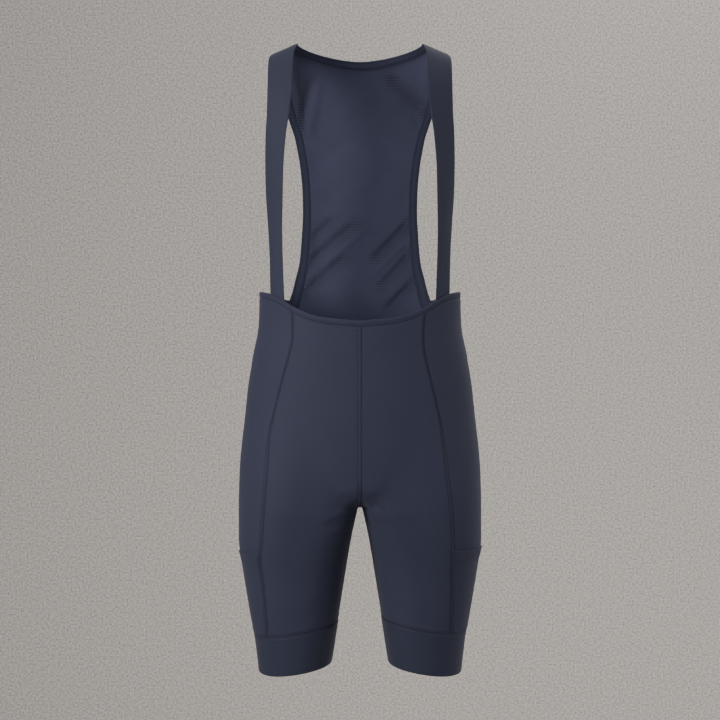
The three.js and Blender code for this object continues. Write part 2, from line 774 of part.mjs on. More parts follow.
function addPad() {
  const faces = [0, 1].map((face) => Array.from({ length: PAD_ROWS + 1 }, (_, i) => {
    const angle = mix(PAD_START, PAD_FINISH, i / PAD_ROWS);
    const depth = LYCRA + PAD_CLEARANCE + face * PAD;
    const shrink = face * PAD_EDGE;
    const half = padLine(angle, padOutline.halfWidth(angle) - shrink, depth);
    return [...mirrored([half])[0].slice(1).reverse(), ...half];
  }));
  addWall('chamois_pad', foam, faces[0], faces[1]);
}

addPanels('left');
addPanels('right');
addCuff('left');
addCuff('right');
addWaistBand();
addBack();
addNeckBinding();
addStraps();
addPad();

export default garment;
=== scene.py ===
# %% [markdown]
# # Cycling bib shorts
# Stretch shorts with a mesh back and two flat straps, filled out as if worn, with nobody in them.
# The solids of the part give every piece its place. Here each piece is made again as a fine
# cloth shell on the same surface, with seams, stitches, ribs, folds and a knitted finish.

import json
import math

import bpy
import numpy as np
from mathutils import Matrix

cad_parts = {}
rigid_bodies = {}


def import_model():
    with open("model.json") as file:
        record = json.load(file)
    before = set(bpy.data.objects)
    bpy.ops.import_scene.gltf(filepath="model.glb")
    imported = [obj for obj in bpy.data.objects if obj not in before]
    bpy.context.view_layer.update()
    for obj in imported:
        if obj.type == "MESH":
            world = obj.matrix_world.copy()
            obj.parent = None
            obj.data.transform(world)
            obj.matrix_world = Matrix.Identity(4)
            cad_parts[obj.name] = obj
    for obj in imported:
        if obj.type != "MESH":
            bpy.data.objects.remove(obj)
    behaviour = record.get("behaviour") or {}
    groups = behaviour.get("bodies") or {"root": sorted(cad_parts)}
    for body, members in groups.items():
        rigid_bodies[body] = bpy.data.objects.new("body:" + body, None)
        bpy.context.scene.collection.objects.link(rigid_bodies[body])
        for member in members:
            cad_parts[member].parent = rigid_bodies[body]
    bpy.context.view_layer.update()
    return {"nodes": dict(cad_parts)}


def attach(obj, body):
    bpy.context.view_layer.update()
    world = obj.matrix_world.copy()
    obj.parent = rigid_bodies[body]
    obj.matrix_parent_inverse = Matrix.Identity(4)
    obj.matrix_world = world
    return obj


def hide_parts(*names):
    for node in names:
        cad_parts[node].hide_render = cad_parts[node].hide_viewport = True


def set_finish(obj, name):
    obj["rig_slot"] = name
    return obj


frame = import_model()
print("solids:", len(frame["nodes"]))

# %% [markdown]
# ## Camera
# The photograph is square and looks straight at the front from about 2.5 m. The height of one
# pixel in the middle of the garment is 1.426 mm, which fixes the lens.

# %% Camera
MM = 0.001
VIEW_DISTANCE = 2500
VIEW_HEIGHT = -443.5
PIXEL = 1.426
PHOTO_WIDTH = 720
SENSOR = 36

camera_data = bpy.data.cameras.new("camera")
camera_data.sensor_width = SENSOR
camera_data.lens = SENSOR * VIEW_DISTANCE / (PIXEL * PHOTO_WIDTH)
camera = bpy.data.objects.new("camera", camera_data)
camera.location = (0, -VIEW_DISTANCE * MM, VIEW_HEIGHT * MM)
camera.rotation_euler = (math.radians(90), 0, 0)
bpy.context.scene.collection.objects.link(camera)
bpy.context.scene.camera = camera
print("lens", round(camera_data.lens, 2), "mm")

# %% [markdown]
# ## Curves through tables
# Sizes that change with height are kept in short tables. A smooth curve through the rows that
# never overshoots gives the size at any height, for a whole array of heights at once.

# %% Curves


def smooth_curve(places, values):
    """Cubic curve through points, with the harmonic mean of the slopes as its tangents."""
    order = np.argsort(places)
    places = np.asarray(places, float)[order]
    values = np.asarray(values, float)[order]
    spans = np.diff(places)
    slopes = np.diff(values) / spans
    before, after = slopes[:-1], slopes[1:]
    same_way = before * after > 0
    total = np.where(same_way, before + after, 1)
    middle = np.where(same_way, 2 * before * after / total, 0)
    tangents = np.concatenate([slopes[:1], middle, slopes[-1:]])

    def at(place):
        place = np.clip(place, places[0], places[-1])
        i = np.clip(np.searchsorted(places, place, side="right") - 1, 0, len(spans) - 1)
        t = (place - places[i]) / spans[i]
        step = t * t * (3 - 2 * t)
        leave = t * (1 - t) ** 2 * spans[i]
        arrive = t * t * (t - 1) * spans[i]
        rise = values[i + 1] - values[i]
        return values[i] + rise * step + tangents[i] * leave + tangents[i + 1] * arrive

    return at


def table(rows):
    """One smooth curve for each column after the first, which holds the places."""
    columns = list(zip(*rows))
    return [smooth_curve(columns[0], column) for column in columns[1:]]


def smoothstep(value, low, high):
    t = np.clip((value - low) / (high - low), 0, 1)
    return t * t * (3 - 2 * t)


def mix(a, b, t):
    return a + (b - a) * t


# %% Tables of the figure and the seams, in mm
# height, half width, depth to the front, depth to the back
torso_half, torso_front, torso_back = table([
    (10, 178, 74, 80),
    (-60, 168, 92, 94),
    (-130, 155, 106, 103),
    (-200, 145, 112, 104),
    (-250, 139.5, 111, 97),
    (-300, 139.5, 108, 89),
    (-347, 142.6, 105, 82),
    (-394, 144.3, 106, 82),
    (-439, 152.6, 107, 91),
    (-485, 159.7, 108, 106),
    (-530, 164.2, 109, 118),
    (-576, 169.7, 109, 122),
    (-622, 172.4, 106.5, 120),
    (-660, 172.5, 103, 114),
])
# height, inner edge, outer edge, depth to the front, depth to the back, and the roundness of the
# inner half in front and behind
leg_inner, leg_outer, leg_front, leg_back, leg_front_roundness, leg_back_roundness = table([
    (-480, -25.2, 159, 101, 106, 4, 3.2),
    (-560, -11.4, 168, 103, 116, 4, 3.2),
    (-600, -5, 171.2, 103, 112, 4.5, 2.9),
    (-651, 5, 172.5, 101, 105, 5, 2.45),
    (-672, 8.9, 172.5, 98, 100.5, 4, 2.4),
    (-697, 13.7, 172.5, 94, 96, 3.2, 2.4),
    (-705, 15.1, 172.1, 92.5, 94, 3, 2.4),
    (-723, 18.1, 168.4, 89, 91, 2.7, 2.4),
    (-749, 22.2, 164.1, 84, 86, 2.5, 2.35),
    (-800, 30.2, 155.6, 78, 79, 2.35, 2.3),
    (-834, 34.8, 149.5, 73.5, 74.5, 2.25, 2.25),
    (-860, 38.8, 146, 69.5, 70, 2.2, 2.2),
    (-886, 43, 143.1, 66, 66, 2.2, 2.2),
])
BACK_CORNER = 102.8
BACK_CORNER_HEIGHT = -356.5
# angle about the leg axis, height of the top edge
(waist_edge,) = table([
    (-130, -389.7),
    (-111, -384.7),
    (-93.5, -373.6),
    (-85, -366.5),
    (-78.5, -361),
    (-58.7, -351),
    (-30, -347.5),
    (0, -347),
    (40, -349),
    (76, BACK_CORNER_HEIGHT),
])
# height, distance of the long front seam from the middle on the left and on the right
seam_left, seam_right = table([
    (-372, 94, 90),
    (-410, 92.5, 86.7),
    (-430, 96, 88),
    (-455, 103, 93.3),
    (-500, 114.5, 104.2),
    (-550, 125.5, 114),
    (-600, 129.5, 119.7),
    (-650, 133, 125.5),
    (-700, 137, 128),
    (-715, 138.5, 127.3),
    (-760, 134, 127.7),
    (-816, 129.5, 126),
])
FRONT_SEAM = {"left": seam_left, "right": seam_right}
# height, angle of the seam between side and seat
(back_seam,) = table([(-829, 46), (-700, 48), (-600, 56), (-450, 72), (-356, 76)])

# %% [markdown]
# ## The surface of the shorts
# A torso that parts into two legs has no simple formula of two parameters. It is easy as a field
# that is 0 on the cloth, negative inside and positive outside: a superellipse section for the
# torso, one for each leg, and a blend between them that ends at the crotch. Rays from the axis
# of a leg then find the cloth by halving, for thousands of points in one go.

# %% Field of the shorts
TORSO_ROUNDNESS = 2.3
OUTER_LEG_ROUNDNESS = 2.2
CROTCH_SOFTNESS = 4.5
MIDDLE_HALF_WIDTH = 10
SIDE_HALF_WIDTH = 100
SIDE_PARTING = -480
MIDDLE_PARTING = {"front": -622, "back": -598}
PARTING_CHANGE = 40
SEAT_LEVEL = -560
CROTCH = -649
LEG_AXIS = 90
SLOPE_STEP = 0.4
FIRST_REACH = 20.0
LAST_REACH = 260
HALVINGS = 24
TINY = 1e-6


def section(x, y, half, depth, roundness):
    """Size of the superellipse through a point: (x / half)^n + (y / depth)^n, to the power 1 / n."""
    return ((np.abs(x) / half) ** roundness + (np.abs(y) / depth) ** roundness) ** (1 / roundness)


def field(x, y, z):
    """Torso section blended into the leg section down to the crotch, each minus 1 and scaled to mm."""
    depth = np.where(y < 0, torso_front(z), torso_back(z))
    body = (section(x, y, torso_half(z), depth, TORSO_ROUNDNESS) - 1) * depth
    across = np.hypot(x, CROTCH_SOFTNESS)
    middle = mix(MIDDLE_PARTING["back"], MIDDLE_PARTING["front"], smoothstep(-y, 0, PARTING_CHANGE))
    start = mix(middle, SIDE_PARTING, smoothstep(across, MIDDLE_HALF_WIDTH, SIDE_HALF_WIDTH))
    change = smoothstep(start - z, 0, start - CROTCH)
    inner = leg_inner(z)
    half = (leg_outer(z) - inner) / 2
    leg_depth = np.where(y < 0, leg_front(z), leg_back(z))
    aside = across - inner - half
    inner_half = np.where(y < 0, leg_front_roundness(z), leg_back_roundness(z))
    roundness = np.where(aside < 0, inner_half, OUTER_LEG_ROUNDNESS)
    thigh = (section(aside, y, half, leg_depth, roundness) - 1) * half
    return mix(body, thigh, change)


def outward(points):
    """Unit normal: the slope of the field along each axis, by central differences."""
    slopes = []
    for shift in np.eye(3) * SLOPE_STEP:
        ahead, behind = (np.moveaxis(points + way * shift, -1, 0) for way in (1, -1))
        slopes.append(field(*ahead) - field(*behind))
    normal = np.stack(slopes, -1)
    return normal / np.linalg.norm(normal, axis=-1, keepdims=True)


def meet(origin, direction):
    """Where rays meet the cloth, by halving. Rays from a leg's axis stop at the middle plane."""
    direction = direction / np.linalg.norm(direction, axis=-1, keepdims=True)
    origin = np.broadcast_to(origin, direction.shape)
    inward = np.maximum(-direction[..., 0], TINY)
    from_axis = origin[..., 0] > LEG_AXIS / 2
    far = np.minimum(LAST_REACH, np.where(from_axis, origin[..., 0] / inward, LAST_REACH))
    near = np.full(far.shape, FIRST_REACH)
    for _ in range(HALVINGS):
        middle = (near + far) / 2
        points = origin + direction * middle[..., None]
        inside = field(*np.moveaxis(points, -1, 0)) < 0
        near = np.where(inside, middle, near)
        far = np.where(inside, far, middle)
    return origin + direction * far[..., None]


def stack(x, y, z):
    return np.stack(np.broadcast_arrays(x, y, z), -1).astype(float)


def crotch_point(angle):
    """Middle seam round the crotch: 0 degrees in front, 90 below, 180 behind."""
    turn = np.radians(np.asarray(angle, float))
    return meet(stack(0, 0, SEAT_LEVEL), stack(0 * turn, -np.cos(turn), -np.sin(turn)))


# %% [markdown]
# ## Rows and columns
# A panel is a grid. Its rows run round one half of the shorts from the middle seam in front to
# the one behind, and below the crotch they are rings. Near the crotch they fan out, so that no
# row is squeezed. Rows and columns are close together beside seams, where the relief is fine.

# %% Rows
WAIST_ROWS_END = -450
CROTCH_ROW = -690
POCKET_MOUTH = {"left": -714, "right": -708}
CUFF_SEAM = {"left": -829, "right": -824}
CUFF_SEAM_INSIDE = {"left": -812, "right": -806}
HEM = -885
HEM_INSIDE = -872
WAIST_BAND_WIDTH = 7.8
BACK_SEAM_CENTRE = -425
BACK_SEAM_POWER = 2.2
WAIST_FRONT = -389.7
FAN_START = 50
SETTLING_TURNS = 6
SEAM_SEARCH = (-125.0, -5.0)
SEAM_HALVINGS = 22
ANGLE_SAMPLES = 49
DENSE = np.array([0, 0.4, 0.8, 1.2, 1.6, 2.0, 2.4, 2.8, 3.3, 3.9, 4.6, 5.5, 6.7, 8.2])


def row_ends(point, level):
    """Angle about the leg axis and slope of the ray that ends a row at this point."""
    reach = np.hypot(LEG_AXIS, point[..., 1])
    angle = np.degrees(np.arctan2(np.abs(point[..., 1]), -LEG_AXIS))
    return angle, (point[..., 2] - level) / reach


def open_rows(level, down, front, back):
    front_angle, front_slope = row_ends(front, np.where(down < 1, front[..., 2], level))
    back_angle, back_slope = row_ends(back, np.where(down < 1, back[..., 2], level))
    return {
        "level": level, "down": down, "open": np.ones(len(level), bool),
        "front": front, "front_angle": front_angle, "front_slope": front_slope,
        "back": back, "back_angle": back_angle, "back_slope": back_slope,
    }


def hip_rows(level, down):
    front_level = mix(WAIST_FRONT - WAIST_BAND_WIDTH, level, down)
    back_level = mix(BACK_SEAM_CENTRE, level, down)
    front = stack(0, -torso_front(front_level), front_level)
    back = stack(0, torso_back(back_level), back_level)
    return open_rows(level, down, front, back)


def crotch_rows(level):
    angle = 90 * (SEAT_LEVEL - level) / (SEAT_LEVEL - CROTCH_ROW)
    return open_rows(level, np.ones(len(level)), crotch_point(angle), crotch_point(180 - angle))


def ring_rows(level, inside):
    """Rings below the crotch, higher at the inner leg than outside."""
    slope = (inside - level) / (LEG_AXIS - leg_inner(inside))
    half_turn = np.full(len(level), 180.0)
    point = stack(leg_inner(inside), 0, inside)
    return {
        "level": level, "down": np.ones(len(level)), "open": np.zeros(len(level), bool),
        "front": point, "front_angle": half_turn, "front_slope": slope,
        "back": point, "back_angle": half_turn, "back_slope": slope,
    }


def thigh_rows(level, side):
    along = (level - CROTCH_ROW) / (CUFF_SEAM[side] - CROTCH_ROW)
    return ring_rows(level, mix(crotch_point(90)[2], CUFF_SEAM_INSIDE[side], along))


def cuff_rows(along, side):
    level = mix(CUFF_SEAM[side], HEM, along)
    return ring_rows(level, mix(CUFF_SEAM_INSIDE[side], HEM_INSIDE, along))


def join_rows(*groups):
    return {key: np.concatenate([group[key] for group in groups]) for key in groups[0]}


def steps(start, end, pitch):
    """Even places after start, up to and with end, about a pitch apart."""
    count = max(1, round(abs(end - start) / pitch))
    return start + (end - start) * np.arange(1, count + 1) / count


ROW_PITCH = 4
CROTCH_PITCH = ROW_PITCH * 0.8
WAIST_HEIGHT = 85
dense_down = DENSE / WAIST_HEIGHT
waist_down = np.concatenate([dense_down, steps(dense_down[-1], 1, ROW_PITCH / WAIST_HEIGHT)])
hip_levels = steps(WAIST_ROWS_END, SEAT_LEVEL, ROW_PITCH)
panel_rows = {}
for side, seam in CUFF_SEAM.items():
    even_levels = steps(CROTCH_ROW, seam + DENSE[-1], ROW_PITCH)
    thigh_levels = np.concatenate([even_levels, seam + DENSE[-2::-1]])
    panel_rows[side] = join_rows(
        hip_rows(np.full(len(waist_down), float(WAIST_ROWS_END)), waist_down),
        hip_rows(hip_levels, np.ones(len(hip_levels))),
        crotch_rows(steps(SEAT_LEVEL, CROTCH_ROW, CROTCH_PITCH)),
        thigh_rows(thigh_levels, side),
    )
print("rows of a panel:", {side: len(rows["level"]) for side, rows in panel_rows.items()})

# %% Points of a panel


def back_seam_height(x):
    """Seam under the mesh back: it dips from its corners to the middle as a power curve."""
    out = np.minimum(1, np.abs(x) / BACK_CORNER)
    return BACK_SEAM_CENTRE + (BACK_CORNER_HEIGHT - BACK_SEAM_CENTRE) * out**BACK_SEAM_POWER


def surface(rows, angles, piece="side"):
    """Points of the cloth on rows, at angles about the leg axis, by rays that fan at the crotch."""
    behind = angles > 0
    end = np.where(behind, rows["back_angle"][:, None], rows["front_angle"][:, None])
    slope = np.where(behind, rows["back_slope"][:, None], rows["front_slope"][:, None])
    slope = slope * smoothstep(np.abs(angles), FAN_START, end)
    turn = np.radians(angles)
    direction = stack(np.cos(turn), np.sin(turn), slope)
    level = np.broadcast_to(rows["level"][:, None], angles.shape)
    points = meet(stack(LEG_AXIS, 0, level), direction)
    waist = rows["down"] < 1
    if not waist.any():
        return points
    x = np.full(angles[waist].shape, BACK_CORNER)
    down = rows["down"][waist][:, None]
    side_top = waist_edge(angles[waist]) - WAIST_BAND_WIDTH
    for _ in range(SETTLING_TURNS):
        top = back_seam_height(x) if piece == "seat" else side_top
        origin = stack(LEG_AXIS, 0, mix(top, level[waist], down))
        points[waist] = meet(origin, direction[waist])
        x = points[waist][..., 0]
    return points


def front_seam_angle(rows, side):
    """Angle at which the long front seam crosses each row, by halving."""
    low, high = (np.full(len(rows["level"]), angle) for angle in SEAM_SEARCH)
    for _ in range(SEAM_HALVINGS):
        middle = (low + high) / 2
        point = surface(rows, middle[:, None])[:, 0]
        short = point[:, 0] < FRONT_SEAM[side](point[:, 2])
        low = np.where(short, middle, low)
        high = np.where(short, high, middle)
    return (low + high) / 2


def lengths(points, axis):
    """Length run along a grid from its first row or column."""
    gaps = np.linalg.norm(np.diff(points, axis=axis), axis=-1)
    pad = [(0, 0), (0, 0)]
    pad[axis] = (1, 0)
    return np.pad(np.cumsum(gaps, axis=axis), pad)


def seam_columns(rows, start, end, pitch, piece):
    """Angles of the columns, dense beside both seams and even between them."""
    angles = mix(start[:, None], end[:, None], np.linspace(0, 1, ANGLE_SAMPLES))
    run = lengths(surface(rows, angles, piece), 1)
    total = run[:, -1:]
    count = max(4, round((np.median(total) - 2 * DENSE[-1]) / pitch))
    middle = mix(DENSE[-1], total - DENSE[-1], np.arange(1, count) / count)
    wanted = np.concatenate([
        np.broadcast_to(DENSE, (len(run), len(DENSE))), middle, total - DENSE[::-1],
    ], axis=1)
    return np.stack([np.interp(w, r, a) for w, r, a in zip(wanted, run, angles)])


COLUMN_PITCH = 4.5
SEAM_ANGLES = {side: front_seam_angle(rows, side) for side, rows in panel_rows.items()}


def panel_grid(piece, side):
    """Grid of one panel on the right half, with its ends exactly on the middle seams."""
    rows = panel_rows[side]
    behind = back_seam(rows["level"])
    bounds = {
        "front": (-rows["front_angle"], SEAM_ANGLES[side]),
        "side": (SEAM_ANGLES[side], behind),
        "seat": (behind, rows["back_angle"]),
    }
    angles = seam_columns(rows, *bounds[piece], COLUMN_PITCH, piece)
    grid = surface(rows, angles, piece)
    if piece == "front":
        grid[rows["open"], 0] = rows["front"][rows["open"]]
    if piece == "seat":
        grid[rows["open"], -1] = rows["back"][rows["open"]]
    return grid


# %% [markdown]
# ## Cloth shells
# Each piece is a closed shell: an outer face with all the relief, a plain inner face, and a
# rounded rim between them, so that a cut edge never looks like folded paper. Every shell has its
# own UV map in metres along and across the cloth, which the knitted finishes follow.

# %% Shells
RIM_BULGE = 0.2


def new_mesh(name, vertices, faces, slot, uv=None, shade=None):
    """Mesh object from arrays in mm, all of four-sided faces, with a slot of the record."""
    mesh = bpy.data.meshes.new(name)
    mesh.vertices.add(len(vertices))
    mesh.vertices.foreach_set("co", (vertices * MM).astype(np.float32).ravel())
    corners = faces.ravel()
    mesh.loops.add(len(corners))
    mesh.loops.foreach_set("vertex_index", corners.astype(np.int32))
    mesh.polygons.add(len(faces))
    mesh.polygons.foreach_set("loop_start", np.arange(0, len(corners), 4, dtype=np.int32))
    mesh.polygons.foreach_set("use_smooth", np.ones(len(faces), bool))
    if uv is not None:
        layer = mesh.uv_layers.new(name="cloth")
        layer.uv.foreach_set("vector", (uv[corners] * MM).astype(np.float32).ravel())
    # the attribute holds painted shade of seam furrows, stitch grooves and rib valleys
    if shade is not None:
        attribute = mesh.attributes.new("seam", "FLOAT", "POINT")
        attribute.data.foreach_set("value", shade.astype(np.float32))
    mesh.update(calc_edges=True)
    mesh.validate()
    piece = bpy.data.objects.new(name, mesh)
    bpy.context.scene.collection.objects.link(piece)
    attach(piece, "root")
    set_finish(piece, slot)
    return piece


def signed_volume(vertices, faces):
    a, b, c, d = (vertices[faces[:, i]] for i in range(4))
    first = np.einsum("ij,ij->i", a, np.cross(b, c))
    second = np.einsum("ij,ij->i", a, np.cross(c, d))
    return first.sum() + second.sum()


def shell(name, outer, inner, slot, shade=None, tube=False, mirror=False):
    """Closed wall between two grids, with one loop round its rim that stands out to round it."""
    height, width = outer.shape[:2]
    count = height * width
    vertices = np.concatenate([outer.reshape(-1, 3), inner.reshape(-1, 3)])
    index = np.arange(count).reshape(height, width)
    if tube:
        index = np.concatenate([index, index[:, :1]], axis=1)
    corners = [index[:-1, :-1], index[1:, :-1], index[1:, 1:], index[:-1, 1:]]
    cells = np.stack(corners, -1).reshape(-1, 4)
    faces = [cells, (cells + count)[:, ::-1]]
    columns = np.arange(width)
    if tube:
        rims = [index[0, :0:-1], index[-1, :-1]]
    else:
        rims = [np.concatenate([index[:, 0], index[-1, 1:], index[-2::-1, -1], index[0, -2:0:-1]])]
        columns = np.clip(columns, 1, width - 2)
    flat_outer = outer.reshape(-1, 3)
    flat_inner = inner.reshape(-1, 3)
    nearest = (np.clip(np.arange(height), 1, height - 2)[:, None] * width + columns).ravel()
    for rim in rims:
        middle = (flat_outer[rim] + flat_inner[rim]) / 2
        away = flat_outer[rim] - flat_outer[nearest[rim]]
        away /= np.maximum(np.linalg.norm(away, axis=1, keepdims=True), TINY)
        bulge = np.linalg.norm(flat_outer[rim] - flat_inner[rim], axis=1, keepdims=True) * RIM_BULGE
        start = len(vertices)
        vertices = np.concatenate([vertices, middle + away * bulge])
        loop = start + np.arange(len(rim))
        ahead = np.roll(loop, -1)
        rim_ahead = np.roll(rim, -1)
        faces.append(np.stack([rim, loop, ahead, rim_ahead], -1))
        faces.append(np.stack([loop, rim + count, rim_ahead + count, ahead], -1))
    faces = np.concatenate(faces)
    across = lengths(outer, 1).ravel()
    along = lengths(outer, 0).ravel()
    flat_uv = np.stack([across, along], -1)
    uv = np.concatenate([flat_uv, flat_uv] + [flat_uv[rim] for rim in rims])
    # painted shade, copied onto the rim loops
    seam = np.zeros(count) if shade is None else shade.ravel()
    seams = np.concatenate([seam, seam] + [seam[rim] for rim in rims])
    if mirror:
        vertices = vertices * (-1, 1, 1)
    if signed_volume(vertices, faces) < 0:
        faces = faces[:, ::-1]
    return new_mesh(name, vertices, faces, slot, uv, seams)


# %% [markdown]
# ## Pieces in place of solids
# Each cloth shell takes the place of a node of the solids, which is hidden. A stretch garment
# is cut smaller than it is worn.


def sheet_piece(node, outer, inner, slot, shade=None, side="right", tube=False, name=None):
    """Shell that stands in for a node of the solids, which it hides."""
    piece = shell(f"{name or node}_cloth", outer, inner, slot, shade, tube, mirror=side == "left")
    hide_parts(node)
    return piece


# %% [markdown]
# ## Seams
# The panels are joined with flat seams: the two edges meet, a needle thread runs along each side
# in a furrow of its own, a cover thread crosses from one to the other, and the cloth swells a
# little beside it. Over the belly the cloth is pulled thin and the seam shows as one valley. On
# the thighs it lies as a flat band between its two furrows. Relief is a sum of bell curves of the
# distance to the seam. The middle seam stands up as a narrow band.

# %% Seam relief
NEEDLE_LINE = 2.1
BELLY_END = 515
THIGH_START = 585
# height, place and width of the bells in the relief of each kind of seam
VALLEY = [(-0.42, 0, 1.0), (-0.12, NEEDLE_LINE, 0.6), (0.24, 4.6, 2)]
FLAT_BAND = [(0.3, 0.6, 1.0), (-0.1, 0, 0.4), (-0.42, NEEDLE_LINE + 0.4, 0.6), (0.2, 5.4, 1.8)]
MIDDLE_BAND = [(0.5, 0, 1.7), (-0.3, NEEDLE_LINE + 0.4, 0.7)]
EDGE_SEAM = [(-0.5, 0, 0.8), (-0.25, 2.4, 0.6), (0.25, 5.2, 2.2)]
# the same for the painted shade laid into its furrows
VALLEY_SHADE = [(0.75, 0, 1.3)]
FLAT_SHADE = [(0.9, NEEDLE_LINE + 0.2, 0.75), (0.35, 0, 1.8)]
MIDDLE_SHADE = [(0.8, NEEDLE_LINE + 0.4, 0.8), (0.3, 0, 1.6)]


def bell(distance, place, width):
    return np.exp(-(((distance - place) / width) ** 2))


def bells(distance, rows):
    return sum(height * bell(distance, place, width) for height, place, width in rows)


def on_thigh(z):
    """0 over the belly and 1 on the thighs."""
    return smoothstep(-np.asarray(z, float), BELLY_END, THIGH_START)


def long_seam(distance, z):
    return mix(bells(distance, VALLEY), bells(distance, FLAT_BAND), on_thigh(z))


# painted shade along the furrows of a seam: one valley over the belly, two lines on the thighs
def seam_shade(distance, z=0):
    return mix(bells(distance, VALLEY_SHADE), bells(distance, FLAT_SHADE), on_thigh(z))


CROTCH_ANGLES = np.linspace(12, 168, 79)
crotch_line = crotch_point(CROTCH_ANGLES)


def middle_distance(points):
    """Distance to the middle seam: sideways, and down from it where the cloth turns into the leg."""
    x, y, z = np.moveaxis(points, -1, 0)
    height = np.interp(y, crotch_line[:, 1], crotch_line[:, 2])
    inside = (y > crotch_line[0, 1]) & (y < crotch_line[-1, 1])
    drop = np.where(inside, np.maximum(0, height - z), 0)
    return np.hypot(x, drop)


def inner_leg_distance(points):
    """Distance to the inner leg seam, which starts at the crotch."""
    x, y, z = np.moveaxis(points, -1, 0)
    above = np.maximum(0, z - crotch_point(90)[2])
    return np.where(x < LEG_AXIS, np.hypot(y, above), 1000)


# %% [markdown]
# ## Creases
# Tight stretch cloth has few creases. The ones that show are soft: where the legs meet, where
# the pad ends, over the hips, under the seat and above the leg grippers. Each is a row of a
# table, from one point to another as seen from the front or from behind, with half its width
# and its height.

# %% Creases
# side of the body, from x, from z, to x, to z, half width, height
CREASES = [
    ("front", 0, -624, 20, -633, 4.0, -0.9),
    ("front", 20, -633, 34, -648, 4.0, -1.0),
    ("front", 34, -648, 40, -662, 4.0, -0.9),
    ("front", 40, -662, 40, -682, 4.5, -0.6),
    ("front", 6, -652, 17, -674, 5.0, -1.3),
    ("front", 0, -624, -22, -633, 4.0, -0.7),
    ("front", -22, -633, -36, -650, 4.0, -0.8),
    ("front", -36, -650, -40, -670, 4.5, -0.5),
    ("front", -6, -656, -34, -668, 8.0, -2.6),
    ("front", -22, -634, -26, -626, 2.5, 0.5),
    ("front", 12, -640, 28, -656, 8.0, 0.9),
    ("front", -12, -640, -28, -652, 7.0, 0.6),
    ("front", 60, -790, 92, -812, 9.0, -0.5),
    ("front", -52, -785, -88, -806, 9.0, -0.4),
    ("front", 128, -470, 146, -452, 12.0, -0.5),
    ("front", -132, -478, -148, -458, 12.0, -0.4),
    ("back", 12, -640, 58, -628, 7.0, -1.2),
    ("back", -10, -642, -54, -630, 7.0, -1.1),
    ("back", 30, -668, 88, -652, 9.0, -0.9),
    ("back", -34, -672, -84, -656, 9.0, -0.8),
    ("back", 60, -770, 118, -758, 10.0, -0.8),
    ("back", -66, -762, -112, -752, 10.0, -0.7),
    ("back", 70, -792, 112, -786, 8.0, -0.6),
    ("back", -58, -788, -104, -782, 8.0, -0.6),
    ("back", 96, -470, 132, -448, 12.0, -0.6),
    ("back", -92, -466, -128, -446, 12.0, -0.6),
]
END_SOFTNESS = 0.6


def ridge(x, z, start_x, start_z, end_x, end_z, half_width, height):
    """A soft ridge along a line, from the distance d to it: (1 - d^2)^2, and nothing past d = 1."""
    along_x, along_z = end_x - start_x, end_z - start_z
    length = math.hypot(along_x, along_z)
    along = ((x - start_x) * along_x + (z - start_z) * along_z) / length**2
    aside = ((x - start_x) * along_z - (z - start_z) * along_x) / length
    over = np.maximum(0, np.maximum(-along, along - 1)) * length
    distance = np.hypot(aside, over * END_SOFTNESS) / half_width
    return height * np.maximum(0, 1 - distance**2) ** 2


def creases(points, side):
    """Sum of all creases at these points of the right half, taken from the left where it is left."""
    x = points[..., 0] * (-1 if side == "left" else 1)
    total = np.zeros(x.shape)
    for face, *row in CREASES:
        here = points[..., 1] < 0 if face == "front" else points[..., 1] > 0
        total += np.where(here, ridge(x, points[..., 2], *row), 0)
    return total


# %% [markdown]
# ## Panels of the shorts
# Six panels make the shorts: two fronts, two sides and two for the seat, which also form the
# backs of the legs.

# %% Panels
LYCRA = 1.1
grids = {}


def panel_relief(grid, piece, side):
    """Relief of a panel and the painted shade in its seam furrows, from the distances to its four edges."""
    run = lengths(grid, 1)
    drop = lengths(grid, 0)
    first, last = run, run[:, -1:] - run
    top, bottom = drop, drop[-1:] - drop
    middle = np.minimum(middle_distance(grid), inner_leg_distance(grid))
    long_seams = {"front": [last], "side": [first, last], "seat": [first]}[piece]
    height = grid[..., 2]
    relief = sum(long_seam(distance, height) for distance in long_seams)
    relief = relief + bells(top, EDGE_SEAM) + bells(bottom, EDGE_SEAM) + creases(grid, side)
    # painted shade in the furrows of the long seams, the top and bottom edges and the middle seam
    shades = [seam_shade(distance, height) for distance in long_seams]
    shades += [seam_shade(top), seam_shade(bottom)]
    if piece != "side":
        relief = relief + bells(middle, MIDDLE_BAND)
        shades.append(bells(middle, MIDDLE_SHADE))
    return relief, np.maximum.reduce(shades)


def moved(grid, distance):
    """Grid moved along the normals of the surface."""
    distance = np.asarray(distance, float)
    return grid + outward(grid) * (distance[..., None] if distance.ndim else distance)


for side in ("left", "right"):
    for piece in ("front", "side", "seat"):
        grid = panel_grid(piece, side)
        relief, shade = panel_relief(grid, piece, side)
        name = f"{piece}_panel_{side}"
        outer = moved(grid, relief)
        sheet_piece(name, outer, moved(grid, -LYCRA), "lycra", shade, side)
        grids[name] = (grid, outer)
print("panels:", len(grids))

# %% [markdown]
# ## Thread
# A stitch is a short bowed piece of thread whose ends dive into the cloth. All the stitches of a
# seam are one mesh, made from arrays of start points, end points and normals.

# %% Stitches
THREAD_RINGS = np.array([-1.0, -0.45, 0.45, 1.0])
THREAD_GIRTH = np.array([0.55, 1.0, 1.0, 0.55])
THREAD_SIDES = 4
THREAD_RADIUS = 0.26
THREAD_SUNK = 0.6
COVER_RADIUS = THREAD_RADIUS * 0.8
NEEDLE_LIFT = 0.28
COVER_LIFT = 0.5
STITCH_PITCH = 2.6
STITCH_SHARE = 0.78


